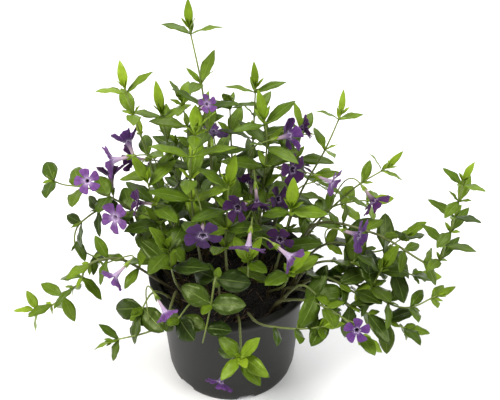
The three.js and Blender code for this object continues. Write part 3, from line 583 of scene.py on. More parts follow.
def leafMaterial(shade):
    made, tree, shader = material(shade + "LeafSkin")
    along, across = attribute(tree, "along"), attribute(tree, "across")
    aside = put(tree, "ShaderNodeMath", across, operation="ABSOLUTE")
    aged = ramp(tree, attribute(tree, "leafAge"), leafColours[shade])
    tint = attribute(tree, "leafTint")
    pale = put(tree, "ShaderNodeMath", tint, leafFinish["pale"][shade], operation="MULTIPLY")
    paler = blend(tree, pale, aged, paint(126, 149, 42))
    mottle = grain(tree, 260)
    uneven = ramp(tree, mottle, [(0.3, (0.82, 0.82, 0.82, 1)), (0.7, (1.12, 1.12, 1.1, 1))])
    each = ramp(tree, tint, [(0.0, (0.72, 0.74, 0.7, 1)), (0.5, (0.96, 0.97, 0.95, 1)),
                             (1.0, (1.18, 1.14, 1.15, 1))])
    skin = blend(tree, 1.0, blend(tree, 1.0, paler, each, "MULTIPLY"), uneven, "MULTIPLY")
    lean = put(tree, "ShaderNodeMath", aside, leafFinish["veinLean"], operation="MULTIPLY")
    rows = put(tree, "ShaderNodeMath", along, leafFinish["veinStep"], operation="MULTIPLY")
    phase = put(tree, "ShaderNodeMath", rows, lean, operation="SUBTRACT")
    swing = put(tree, "ShaderNodeMath", phase, 1.0, operation="PINGPONG")
    sideVein = ramp(tree, swing, [(0.0, (1, 1, 1, 1)), (0.16, (0, 0, 0, 1))])
    midrib = ramp(tree, aside, [(0.0, (1, 1, 1, 1)), (leafFinish["midrib"], (0, 0, 0, 1))])
    faint = put(tree, "ShaderNodeMath", sideVein, leafFinish["sideVein"], operation="MULTIPLY")
    veins = put(tree, "ShaderNodeMath", faint, midrib, operation="MAXIMUM")
    strength = put(tree, "ShaderNodeMath", veins, leafFinish["veinStrength"], operation="MULTIPLY")
    veined = blend(tree, strength, skin, paint(150, 174, 84))
    under = attribute(tree, "underside")
    below = put(tree, "ShaderNodeMath", under, 0.5, operation="MULTIPLY")
    both = blend(tree, below, veined, paint(107, 131, 46))
    tree.links.new(both, shader.inputs["Base Color"])
    shader.inputs["Roughness"].default_value = leafFinish["roughness"]
    shader.inputs["Specular IOR Level"].default_value = leafFinish["specular"]
    shader.inputs["Specular Tint"].default_value = leafFinish["sheenTint"]
    bump(tree, shader, veins, 0.5, leafFinish["veinHeight"])
    return made


stemFinish = {"roughness": 0.55, "mottle": 420, "grain": 900, "grainHeight": 0.0002}


def stemMaterial():
    made, tree, shader = material("stemSkin")
    tone = attribute(tree, "stemTone")
    colours = [(0.0, paint(64, 53, 33)), (0.25, paint(72, 74, 34)), (0.7, paint(92, 108, 38)),
               (1.0, paint(118, 136, 54))]
    uneven = ramp(tree, grain(tree, stemFinish["mottle"]), [(0.3, (0.8, 0.78, 0.78, 1)),
                                                          (0.7, (1.15, 1.12, 1.1, 1))])
    tree.links.new(blend(tree, 1.0, ramp(tree, tone, colours), uneven, "MULTIPLY"), shader.inputs["Base Color"])
    shader.inputs["Roughness"].default_value = stemFinish["roughness"]
    bump(tree, shader, grain(tree, stemFinish["grain"]), 0.4, stemFinish["grainHeight"])
    return made


petalColours = {
    "light": [(0.0, paint(130, 98, 138)), (0.45, paint(96, 58, 116)), (1.0, paint(112, 73, 130))],
    "mid": [(0.0, paint(54, 24, 76)), (0.5, paint(80, 44, 104)), (1.0, paint(97, 59, 119))],
    "dark": [(0.0, paint(38, 12, 48)), (0.5, paint(60, 24, 72)), (1.0, paint(74, 34, 83))],
}
petalFinish = {
    "roughness": 0.6,
    "specular": 0.14,
    "sheen": 0.04,
    "lines": 26,
    "star": 0.245,
    "starPull": 0.16,
    "starShapes": {
        "light": (0.05, 0.95, 0.34, 0.58),
        "mid": (0.035, 0.95, 0.16, 0.45),
        "dark": (0.03, 0.6, 0.08, 0.4),
    },
    "throat": {"light": 0.6, "mid": 0.15, "dark": 0.0},
}


def petalMaterial(shade):
    made, tree, shader = material(shade + "PetalSkin")
    finish = petalFinish
    reach, across = attribute(tree, "petalReach"), attribute(tree, "petalAcross")
    ground = ramp(tree, reach, petalColours[shade])
    flat = put(tree, "ShaderNodeCombineXYZ", across, reach, 0.0)
    lines = put(tree, "ShaderNodeMapping", flat, None, None, (finish["lines"], 1.4, 1.0))
    fan = put(tree, "ShaderNodeTexNoise", lines, 1.0, 2.0)
    streaks = ramp(tree, fan, [(0.35, (0.72, 0.7, 0.8, 1)), (0.65, (1.2, 1.16, 1.14, 1))])
    streaked = blend(tree, 1.0, ground, streaks, "MULTIPLY")
    # A thin dark line is painted down the middle of each petal: painted shade of a crease, which the petal's
    # mesh does not have
    crease = put(tree, "ShaderNodeMath", across, operation="ABSOLUTE")
    creaseShaded = blend(tree, ramp(tree, crease, [(0.0, (0.35, 0.35, 0.35, 1)), (0.05, (0, 0, 0, 1))]),
                    streaked, paint(40, 20, 60))
    # A faint, broken pale star round the throat, with fine rays running out from it
    pulled = put(tree, "ShaderNodeMath", crease, finish["starPull"], operation="MULTIPLY")
    starPlace = put(tree, "ShaderNodeMath", reach, pulled, operation="ADD")
    middle, (width, peak, rays, end) = finish["star"], finish["starShapes"][shade]
    throat = finish["throat"][shade]
    ring = ramp(tree, starPlace, [(middle - width, (throat, throat, throat, 1)), (middle, (peak, peak, peak, 1)),
                                  (middle + width, (rays, rays, rays, 1)), (end, (0, 0, 0, 1))])
    broken = ramp(tree, fan, [(0.42, (0.35, 0.35, 0.35, 1)), (0.6, (1, 1, 1, 1))])
    deepened = blend(tree, attribute(tree, "petalDepth"), creaseShaded, paint(30, 9, 40))
    starred = blend(tree, put(tree, "ShaderNodeMath", ring, broken, operation="MULTIPLY"),
                    deepened, paint(206, 190, 218))
    down = ramp(tree, attribute(tree, "tubeDown"),
                [(0.04, (0, 0, 0, 1)), (0.5, (0.5, 0.5, 0.5, 1)), (1.0, (1, 1, 1, 1))])
    tree.links.new(blend(tree, down, starred, paint(176, 156, 160)), shader.inputs["Base Color"])
    shader.inputs["Roughness"].default_value = finish["roughness"]
    shader.inputs["Specular IOR Level"].default_value = finish["specular"]
    shader.inputs["Sheen Weight"].default_value = finish["sheen"]
    bump(tree, shader, fan, 0.35, 0.0003)
    return made


leafSkins = {shade: leafMaterial(shade) for shade in leafColours}
petalSkins = {shade: petalMaterial(shade) for shade in petalColours}
stemSkin = stemMaterial()


# Leaves: a grid on each point, drawn out into a blade with its stalk, fold, arch and waves

leafSettings = {
    "Rows": 9,
    "Columns": 5,
    "Stalk Share": 0.07,
    "Stalk Width": 0.0011,
    "Fold": 0.34,
    "Roll": 0.2,
    "Wave": 0.16,
    "Slender": 0.86,
    "Broad": 0.6,
    "Thickness": 0.00035,
}


def leafGrowth():
    g = Growth("leafGrowth", {
        "Rows": "Int", "Columns": "Int", "Stalk Share": "Float", "Stalk Width": "Float", "Fold": "Float",
        "Roll": "Float", "Wave": "Float", "Slender": "Float", "Broad": "Float", "Thickness": "Float",
        "Skin": "Material",
    })
    grid = g.add("GeometryNodeMeshGrid", 1.0, 1.0, g.given("Columns"), g.given("Rows"))
    place = g.add("GeometryNodeInputPosition")
    apart = g.tree.nodes.new("ShaderNodeSeparateXYZ")
    g.tree.links.new(place, apart.inputs[0])
    grid = g.store(grid, "across", g.maths("MULTIPLY", apart.outputs[0], 2.0))
    left = g.maths("MAXIMUM", g.maths("SUBTRACT", 0.5, apart.outputs[1]), 0.0)
    grid = g.store(grid, "along", g.maths("SUBTRACT", 1.0, g.maths("POWER", left, 1.25)))
    points = g.store(g.given("Geometry"), "leafRoot", g.add("GeometryNodeInputPosition"), kind="FLOAT_VECTOR")
    real = g.add("GeometryNodeRealizeInstances", g.add("GeometryNodeInstanceOnPoints", points, None, grid))
    t, s = g.number("along"), g.number("across")
    axis, face = g.arrow("leafAxis"), g.arrow("leafFace")
    length, width = g.number("leafLength"), g.number("leafWidth")
    stalk = g.given("Stalk Share")
    past = g.maths("DIVIDE", g.maths("SUBTRACT", t, stalk), g.maths("SUBTRACT", 1.0, stalk))
    onBlade = g.add("ShaderNodeClamp", past, 0.0, 1.0)
    wave = g.maths("SINE", g.maths("MULTIPLY", g.maths("POWER", onBlade, 0.85), math.pi))
    shape = g.maths("DIVIDE", width, length)
    fullness = g.add("ShaderNodeMapRange", shape, 0.34, 0.64, g.given("Slender"), g.given("Broad"))
    swell = g.maths("POWER", g.maths("MAXIMUM", wave, 0.0), fullness)
    blade = g.maths("MULTIPLY", g.maths("MULTIPLY", width, 0.5), swell)
    foot = g.maths("MULTIPLY", g.maths("MULTIPLY", g.given("Stalk Width"), 0.5), g.maths("SUBTRACT", 1.0, t))
    half = g.maths("MAXIMUM", blade, foot)
    aside = g.maths("ABSOLUTE", s)
    fold = g.maths("MULTIPLY", aside, g.given("Fold"))
    roll = g.maths("MULTIPLY", g.maths("MULTIPLY", s, s), g.given("Roll"))
    cup = g.maths("MULTIPLY", g.maths("SUBTRACT", fold, roll), half)
    phase = g.maths("ADD", g.maths("MULTIPLY", t, 13.0), g.maths("MULTIPLY", g.number("leafTint"), 40.0))
    ripple = g.maths("MULTIPLY", g.maths("SINE", g.maths("ADD", phase, s)), g.given("Wave"))
    waves = g.maths("MULTIPLY", g.maths("MULTIPLY", ripple, aside), half)
    droop = g.maths("MULTIPLY", g.maths("MULTIPLY", g.number("leafArch"), length), g.maths("MULTIPLY", t, t))
    rise = g.maths("SUBTRACT", g.maths("ADD", cup, waves), droop)
    side = g.vector("CROSS_PRODUCT", axis, face)
    onAxis = g.vector("ADD", g.arrow("leafRoot"), g.scaled(axis, g.maths("MULTIPLY", length, t)))
    spread = g.vector("ADD", onAxis, g.scaled(side, g.maths("MULTIPLY", half, s)))
    spot = g.vector("ADD", spread, g.scaled(face, rise))
    sheet = g.add("GeometryNodeSetPosition", real, None, spot)
    turned = g.add("GeometryNodeFlipFaces", sheet)
    thick = g.tree.nodes.new("GeometryNodeExtrudeMesh")
    g.tree.links.new(turned, thick.inputs["Mesh"])
    g.tree.links.new(g.given("Thickness"), thick.inputs["Offset Scale"])
    thick.inputs["Individual"].default_value = False
    under = g.store(thick.outputs["Mesh"], "underside", 1.0, thick.outputs["Top"], "FACE")
    both = g.add("GeometryNodeJoinGeometry")
    g.tree.links.new(under, both.node.inputs[0])
    g.tree.links.new(sheet, both.node.inputs[0])
    g.finish(g.add("GeometryNodeMergeByDistance", both, None, 0.00002), g.given("Skin"))
    return g


# Stems: a round skin along chains of points, as thick as each point says

def stemGrowth():
    g = Growth("stemGrowth", {"Sides": "Int", "Skin": "Material"})
    line = g.add("GeometryNodeMeshToCurve", g.given("Geometry"))
    ring = g.add("GeometryNodeCurvePrimitiveCircle", g.given("Sides"), None)
    ring.node.inputs["Radius"].default_value = 1.0
    tube = g.tree.nodes.new("GeometryNodeCurveToMesh")
    g.tree.links.new(line, tube.inputs["Curve"])
    g.tree.links.new(ring, tube.inputs["Profile Curve"])
    g.tree.links.new(g.number("stemRadius"), tube.inputs["Scale"])
    tube.inputs["Fill Caps"].default_value = True
    g.finish(tube.outputs[0], g.given("Skin"))
    return g


leafTree = leafGrowth()
stemTree = stemGrowth()

stemSettings = {
    "Sides": 7,
    "step": 4.0,
    "foot": 1.25,
    "tip": 0.55,
    "knuckle": 0.3,
    "knuckleReach": 1.3,
    "knuckleStep": 1.6,
    "crown": ((-10.8, 1.2), (-2, 1.65), (2.5, 1.6), (4.5, 1.2)),
}
extraSettings = {
    "size": 0.9,
    "floor": 106,
    "bed": 94,
    "rimClear": 52,
    "openSoil": (-20, 140, 72),
    "budSizes": (0.42, 0.28),
    "pairs": 4,
    "tipWidth": 0.74,
    "tipLength": 0.88,
    "tipAge": 0.12,
    "sideShoots": 0.75,
    "sideSize": 0.46,
    "sideSpread": (0.7, 1.15),
    "sideLift": 26,
    "budLifts": (34, 48),
    "budWidth": 0.8,
    "budArch": 0.05,
    "budAbove": 1.2,
    "lowestShare": 0.12,
    "ages": {"bud": 0.1, "side": 0.2, "low": 1.0},
}


def stemChain(stem):
    line = stem["line"]
    steps = math.ceil(line.length / stemSettings["step"])
    shares = {i / steps for i in range(steps + 1)}
    knots = [nodeAt(stem, node) for node in range(1, stem["pairs"] + extraSettings["pairs"])]
    for knot in knots:
        for by in (-1, 0, 1):
            share = knot + by * stemSettings["knuckleStep"] / line.length
            if 0 < share < 1:
                shares.add(share)
    chain = []
    for share in sorted(shares):
        radius = mix(stemSettings["foot"], stemSettings["tip"], share)
        apart = min(abs(share - knot) for knot in knots) * line.length / stemSettings["knuckleReach"]
        radius *= 1 + stemSettings["knuckle"] * math.exp(-apart * apart)
        chain.append((line.point(share), radius, share))
    return chain


def bloomPlace(bloom):
    face = Vector(bloom[4]).normalized()
    eye = Vector(bloom[3])
    seat = eye - face * (growth["tubeLength"] + growth["seatGap"])
    return face, eye, seat, seat - face * growth["calyxLength"]


stalkSettings = {
    "steps": 10,
    "bend": 0.5,
    "radius": 0.55,
    "tone": 0.75,
    "calyx": ((0.5, 0.8), (1.2, 1.15), (2.2, 1.35), (3.0, 1.3), (3.55, 1.0)),
    "calyxTone": 0.95,
}


# The flower's stalk, and the cup of its calyx at the end
def stalkChain(bloom, stem):
    face, eye, seat, foot = bloomPlace(bloom)
    start = nodePoint(stem, bloom[2])
    bend = foot - face * (stalkSettings["bend"] * (start - foot).length)
    chain = []
    for i in range(stalkSettings["steps"] + 1):
        w = i / stalkSettings["steps"]
        at = start * (1 - w) ** 2 + bend * (2 * w * (1 - w)) + foot * w ** 2
        chain.append((at, stalkSettings["radius"], stalkSettings["tone"]))
    for rise, radius in stalkSettings["calyx"]:
        chain.append((foot + face * rise, radius, stalkSettings["calyxTone"]))
    return chain


sepalSettings = {"length": 5.2, "width": 1.5, "arch": -0.1, "age": 0.15, "lean": 0.16, "rise": 1.2, "out": 0.9}


def sepals(bloom, number):
    settings = sepalSettings
    face, eye, seat, foot = bloomPlace(bloom)
    across = face.orthogonal().normalized()
    made = []
    for i in range(5):
        out = Quaternion(face, math.radians(72 * i + 50 * chance(number, 5))) @ across
        axis = (face + out * settings["lean"]).normalized()
        outward = (out - axis * out.dot(axis)).normalized()
        root = foot + face * settings["rise"] + out * settings["out"]
        made.append(dict(root=root, axis=axis, face=outward, length=settings["length"], width=settings["width"],
                         arch=settings["arch"], age=settings["age"], tint=chance(number, i)))
    return made


# The front of the soil shows between the stems, so nothing extra grows over it
def overSoil(point):
    back, top, out = extraSettings["openSoil"]
    return point.y < back and point.z < top and math.hypot(point.x, point.y) < out


# Tiny unfolding leaves at a stem's tip, and leaves further down it than the model's
def extraLeaves(stem):
    made = []
    line = stem["line"]
    ages = extraSettings["ages"]
    for step, share in enumerate(extraSettings["budSizes"] if "stub" not in stem else ()):
        for side in (0, 1):
            place = leafPlace(stem, 1 + step, side, share, 90 * step, extraSettings["budLifts"][step])
            place["root"] = line.point(1 - extraSettings["budAbove"] * (1 - step) / line.length)
            place["width"] *= extraSettings["budWidth"]
            place["arch"] = extraSettings["budArch"]
            made.append(dict(place, age=ages["bud"], tint=chance(stem["seed"], 60 + step)))
    # Small pairs of leaves in the axils of the model's own leaves
    for pair in range(1, stem["pairs"]):
        if chance(stem["seed"], 80 + pair) > extraSettings["sideShoots"]:
            continue
        size = extraSettings["sideSize"] * mix(*extraSettings["sideSpread"], chance(stem["seed"], 90 + pair))
        for side in (0, 1):
            place = leafPlace(stem, pair, side, size, 90, extraSettings["sideLift"])
            if not overSoil(place["root"]):
                made.append(dict(place, age=ages["side"], tint=chance(stem["seed"], 100 + pair)))
    for pair in range(stem["pairs"], stem["pairs"] + extraSettings["pairs"]):
        if "bare" in stem or nodeAt(stem, pair) < extraSettings["lowestShare"]:
            break
        for side in (0, 1):
            place = leafPlace(stem, pair, side, extraSettings["size"], 0, 0)
            tip = leafTip(place)
            low = min(tip.z, place["root"].z)
            out = max(math.hypot(tip.x, tip.y), math.hypot(place["root"].x, place["root"].y))
            if overSoil(tip) or overSoil(place["root"]):
                continue
            inside = out < extraSettings["rimClear"] and low > extraSettings["bed"]
            if inside or low > extraSettings["floor"]:
                made.append(dict(place, age=ages["low"], tint=chance(stem["seed"], 70 + pair * 2 + side)))
    return made


def leafCarrier(name, leaves):
    numbers = {
        "leafLength": [leaf["length"] * mm for leaf in leaves],
        "leafWidth": [leaf["width"] * mm for leaf in leaves],
        "leafArch": [leaf["arch"] for leaf in leaves],
        "leafAge": [leaf["age"] for leaf in leaves],
        "leafTint": [leaf["tint"] for leaf in leaves],
    }
    arrows = {"leafAxis": [leaf["axis"] for leaf in leaves], "leafFace": [leaf["face"] for leaf in leaves]}
    return carrier(name, [leaf["root"] for leaf in leaves], [], numbers, arrows)


def chainCarrier(name, chains):
    points, edges, radii, tones = [], [], [], []
    for chain in chains:
        edges += [(len(points) + i, len(points) + i + 1) for i in range(len(chain) - 1)]
        points += [point for point, _, _ in chain]
        radii += [radius * mm for _, radius, _ in chain]
        tones += [tone for _, _, tone in chain]
    return carrier(name, points, edges, {"stemRadius": radii, "stemTone": tones}, {})


plantPieces = []
for name, crown, shade, stems in plants:
    chains, leaves = [], []
    base = Vector((crown[0], crown[1], growth["soilTop"]))
    chains.append([(base + upward * z, radius, 0.0) for z, radius in stemSettings["crown"]])
    for stem in stems:
        chains.append(stemChain(stem))
        for place in stem["leaves"]:
            if place["pair"] == 0:
                place["width"] *= extraSettings["tipWidth"]
                place["length"] *= extraSettings["tipLength"]
            # Leaves on a stem with a stub, or on a stem flagged for it in the table, take the oldest, darkest
            # colour: partly real age, and on the low stems at the front also painted shade
            darkestAge = "stub" in stem or "darkestAge" in stem
            age = 1 if darkestAge else min(1, extraSettings["tipAge"] + place["pair"] / 3)
            tint = chance(stem["seed"], 50 + place["pair"] + 7 * place["length"])
            leaves.append(dict(place, age=age, tint=tint))
        leaves += extraLeaves(stem)
    for number, bloom in enumerate(blooms):
        if bloom[0] == name:
            chains.append(stalkChain(bloom, stems[bloom[1]]))
            leaves += sepals(bloom, number)
    stemValues = {"Sides": stemSettings["Sides"], "Skin": stemSkin}
    stalks = grow(chainCarrier(name + "Stems", chains), stemTree, stemValues)
    blades = grow(leafCarrier(name + "Leaves", leaves), leafTree, dict(leafSettings, Skin=leafSkins[shade]))
    piece = joined(name + "-grown", [blades, stalks])
    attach(piece, "root")
    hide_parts(name)
    plantPieces.append(piece)
faceCount = sum(len(piece.data.polygons) for piece in plantPieces)
print("plants grown:", len(plantPieces), "with", faceCount, "faces")


# Corollas: one skin from the foot of the tube, through the throat and out over five slanting petals

corollaSettings = {
    "edge": [(-36, 3.6), (-32.5, 4.4), (-29.5, 5.8), (-27.5, 7.8), (-26, 9.8), (-23.5, 11.7), (-19, 12.9),
             (-12, 13.5), (-3, 13.9), (6, 14.2), (14, 14.5), (21, 14.6), (26, 13.9), (28.6, 12.3), (30, 10.2),
             (31, 8), (32.2, 6), (34, 4.6)],
    "tube": [(0.35, -11), (1.0, -10.9), (1.05, -8), (1.25, -5), (1.7, -2.4), (2.3, -0.4)],
    "lip": (2.75, 1.0),
    "petalRows": (0.12, 0.3, 0.5, 0.7, 0.87, 1.0),
    "radius": 14.6,
    "notch": 3.6,
    "cut": 12.4,
    "drawnIn": 0.3,
    "rise": 9,
    "slant": 3.1,
    "curl": 1.5,
    "ripple": 0.6,
    "thickness": 0.3,
}
# How far the photograph shows these blooms darker than the others of their shade
deepBlooms = {6: 0.3, 11: 0.3, 12: 0.55, 13: 0.55, 14: 0.6, 15: 0.4, 16: 0.45, 17: 0.4, 27: 0.5, 29: 0.55}


def corollaPiece(number, bloom):
    settings = corollaSettings
    size, cup = bloom[6], bloom[7]
    columns = [(72 * petal + degrees, degrees / 72, reach)
               for petal in range(5) for degrees, reach in settings["edge"]]
    verts, numbers = [], {"petalReach": [], "petalAcross": [], "tubeDown": []}
    depth = deepBlooms.get(number + 1, 0.0)

    def corner(radius, degrees, z, reach, across, down):
        angle = math.radians(degrees)
        verts.append(Vector((radius * math.cos(angle), radius * math.sin(angle), z)) * size)
        numbers["petalReach"].append(reach)
        numbers["petalAcross"].append(across)
        numbers["tubeDown"].append(down)

    whole = settings["radius"]
    lipRadius, lipRise = settings["lip"]
    # The tube keeps its length whatever the bloom's size, so its foot stays at the calyx
    for radius, z in settings["tube"]:
        down = min(1, max(0.0, -z / growth["tubeLength"]))
        for degrees, across, _ in columns:
            corner(radius, degrees, z / size, radius / whole, across, down)
    for degrees, across, _ in columns:
        corner(lipRadius, degrees, lipRise, lipRadius / whole, across, 0.0)
    for row in settings["petalRows"]:
        for degrees, across, reach in columns:
            petal = round(degrees / 72 - across)
            opened = min(1, (reach - settings["notch"]) / (settings["cut"] - settings["notch"]))
            flatRadius = mix(lipRadius, reach, row)
            radius = mix(lipRadius, reach * (1 - settings["drawnIn"] * cup * opened), row)
            outness = (flatRadius - lipRadius) / (whole - lipRadius)
            curl = settings["curl"] * (1.8 * chance(number * 7 + petal, 11) - 0.4)
            z = lipRise + 0.3 * outness + settings["slant"] * across * outness - curl * outness ** 2
            z += settings["rise"] * cup * opened * row
            wave = math.sin(across * 15 + flatRadius * 0.45 + number + petal * 2.1)
            corner(radius, degrees, z + settings["ripple"] * outness * wave, flatRadius / whole, across, 0.0)
    count = len(columns)
    faces = []
    for row in range(len(verts) // count - 1):
        for i in range(count):
            j = (i + 1) % count
            faces.append((row * count + i, row * count + j, (row + 1) * count + j, (row + 1) * count + i))
    faces.append(tuple(reversed(range(count))))
    face, eye, _, _ = bloomPlace(bloom)
    turn = upward.rotation_difference(face) @ Quaternion(upward, math.radians(72 * chance(number + 1, 3)))
    mesh = bpy.data.meshes.new(f"corolla-{number + 1:02d}")
    mesh.from_pydata([(turn @ v + eye) * mm for v in verts], [], faces)
    numbers["petalDepth"] = [depth] * len(verts)
    for label, values in numbers.items():
        mesh.attributes.new(label, "FLOAT", "POINT").data.foreach_set("value", values)
    piece = bpy.data.objects.new(mesh.name, mesh)
    bpy.context.scene.collection.objects.link(piece)
    mesh.materials.append(petalSkins[bloom[5]])
    mesh.polygons.foreach_set("use_smooth", [True] * len(mesh.polygons))
    skin = piece.modifiers.new("thickness", "SOLIDIFY")
    skin.thickness = settings["thickness"] * mm
    skin.offset = 0
    skin.use_even_offset = False
    return piece


for number, bloom in enumerate(blooms):
    piece = corollaPiece(number, bloom)
    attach(piece, "root")
    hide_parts(f"bloom-{number + 1:02d}")
print("blooms opened:", len(blooms))


# The pot: one turned profile, its foot ring cut back at six notches

potSettings = {
    "steps": 144,
    "wallRings": 8,
    "footHeight": 4,
    "notches": 6,
    "notchDegrees": 15,
    "firstNotch": 14.5,
    "outside": [(47.6, 4.3), (47.6, 0.3), (47.9, 0), (50.1, 0), (50.5, 0.3), (51.2, 3.0), (52.0, 7)],
    "wallTop": (58.0, 95.6),
    "rim": [(58.3, 96.1), (64.3, 96.2), (64.9, 96.7), (65, 97.6), (64.9, 98.9), (64.3, 99.7), (63.4, 100),
            (59.8, 100), (58.5, 99.7), (57.7, 99.0), (57.3, 97.6)],
    "inside": [(56.6, 92), (49.2, 7.4), (47.9, 5.6), (0, 5.6)],
}


def potPiece():
    settings = potSettings
    lowWall = settings["outside"][-1]
    topRadius, topHeight = settings["wallTop"]
    shares = [i / settings["wallRings"] for i in range(1, settings["wallRings"] + 1)]
    wall = [(mix(lowWall[0], topRadius, share), mix(lowWall[1], topHeight, share)) for share in shares]
    foot = settings["footHeight"]
    profile = [(0, foot), (30, foot), *settings["outside"], *wall, *settings["rim"], *settings["inside"]]
    steps = settings["steps"]
    apart = 360 / settings["notches"]
    verts, faces, rings = [], [], []
    for radius, z in profile:
        if radius == 0:
            rings.append([len(verts)] * steps)
            verts.append((0, 0, z * mm))
            continue
        ring = []
        for i in range(steps):
            degrees = 360 * i / steps - 90
            off = (degrees + 90 - settings["firstNotch"] + apart / 2) % apart - apart / 2
            up = max(z, foot) if abs(off) < settings["notchDegrees"] / 2 else z
            angle = math.radians(degrees)
            ring.append(len(verts))
            verts.append((radius * mm * math.cos(angle), radius * mm * math.sin(angle), up * mm))
        rings.append(ring)
    for low, high in zip(rings, rings[1:]):
        for i in range(steps):
            j = (i + 1) % steps
            corners = [low[i], low[j], high[j], high[i]]
            faces.append(tuple(dict.fromkeys(corners)))
    mesh = bpy.data.meshes.new("pot-moulded")
    mesh.from_pydata(verts, [], faces)
    work = bmesh.new()
    work.from_mesh(mesh)
    bmesh.ops.recalc_face_normals(work, faces=work.faces)
    work.to_mesh(mesh)
    work.free()
    mesh.polygons.foreach_set("use_smooth", [True] * len(mesh.polygons))
    mesh.set_sharp_from_angle(angle=math.radians(40))
    piece = bpy.data.objects.new("pot-moulded", mesh)
    bpy.context.scene.collection.objects.link(piece)
    return piece


def potMaterial():
    made, tree, shader = material("potPlastic")
    cloud = grain(tree, 28)
    tone = ramp(tree, cloud, [(0.3, paint(25, 25, 23)), (0.7, paint(31, 31, 29))])
    dust = ramp(tree, grain(tree, 700, 2), [(0.45, (1, 1, 1, 1)), (0.75, (1.25, 1.22, 1.15, 1))])
    tree.links.new(blend(tree, 1.0, tone, dust, "MULTIPLY"), shader.inputs["Base Color"])
    shader.inputs["Roughness"].default_value = 0.4
    shader.inputs["Specular IOR Level"].default_value = 0.16
    bump(tree, shader, grain(tree, 1600, 2), 0.25, 0.0002)
    return made


pot = potPiece()
pot.data.materials.append(potMaterial())
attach(pot, "root")
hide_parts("pot")
print("pot moulded")


# The soil: a lumpy bed, with crumbs of peat and pale fibres scattered on it

soilSettings = {"rings": 40, "steps": 120, "foot": 47.9, "edge": 55.2, "low": 6.2, "edgeDip": 0.8}
crumbSettings = {"Count Seed": 3, "Density": 210000.0, "Smallest": 0.0005, "Largest": 0.0016}
fibreSettings = {
    "count": 90,
    "reach": 50,
    "edge": 53,
    "lengths": (6, 22),
    "bend": 2.4,
    "steps": 6,
    "lift": 0.4,
    "arch": 2.2,
    "radii": (0.18, 0.48),
    "Sides": 4,
}


def soilHeight(x, y):
    dip = 1.2 * (math.sin(x * 0.21 + 1) * math.cos(y * 0.17) + 0.5 * math.sin(x * 0.4 - y * 0.33))
    fine = math.sin(x * 0.9 + 2 * math.sin(y * 0.7)) * math.cos(y * 1.1 + math.sin(x * 0.8))
    return growth["soilTop"] + dip + 0.55 * fine


def soilBed():
    settings = soilSettings
    steps, count = settings["steps"], settings["rings"]
    verts = [(0, 0, soilHeight(0, 0))]
    for k in range(1, count + 1):
        radius = settings["edge"] * k / count
        for i in range(steps):
            angle = 2 * math.pi * i / steps
            x, y = radius * math.cos(angle), radius * math.sin(angle)
            dip = 0.0 if k < count else settings["edgeDip"]
            verts.append((x, y, soilHeight(x, y) - dip))
    foot = settings["foot"]
    for i in range(steps):
        angle = 2 * math.pi * i / steps
        verts.append((foot * math.cos(angle), foot * math.sin(angle), settings["low"]))
    faces = [(0, 1 + i, 1 + (i + 1) % steps) for i in range(steps)]
    for k in range(count):
        for i in range(steps):
            a, b = 1 + k * steps + i, 1 + k * steps + (i + 1) % steps
            faces.append((a, a + steps, b + steps, b))
    faces.append(tuple(reversed(range(1 + count * steps, 1 + (count + 1) * steps))))
    mesh = bpy.data.meshes.new("soil-bed")
    mesh.from_pydata([(x * mm, y * mm, z * mm) for x, y, z in verts], [], faces)
    mesh.polygons.foreach_set("use_smooth", [True] * len(mesh.polygons))
    piece = bpy.data.objects.new("soil-bed", mesh)
    bpy.context.scene.collection.objects.link(piece)
    return piece


def soilMaterial():
    made, tree, shader = material("pottingSoil")
    fine = grain(tree, 520, 6)
    coarse = grain(tree, 90, 4)
    dark = ramp(tree, fine, [(0.3, paint(10, 8, 6)), (0.55, paint(23, 18, 12)), (0.75, paint(46, 36, 25))])
    damp = ramp(tree, coarse, [(0.35, (0.65, 0.62, 0.6, 1)), (0.65, (1.15, 1.1, 1.05, 1))])
    tree.links.new(blend(tree, 1.0, dark, damp, "MULTIPLY"), shader.inputs["Base Color"])
    shader.inputs["Roughness"].default_value = 0.92
    bump(tree, shader, fine, 0.9, 0.0015)
    return made


def fibreMaterial():
    made, tree, shader = material("barkFibre")
    browns = ramp(tree, grain(tree, 300, 3), [(0.3, paint(66, 50, 34)), (0.7, paint(142, 112, 82))])
    tree.links.new(browns, shader.inputs["Base Color"])
    shader.inputs["Roughness"].default_value = 0.85
    return made


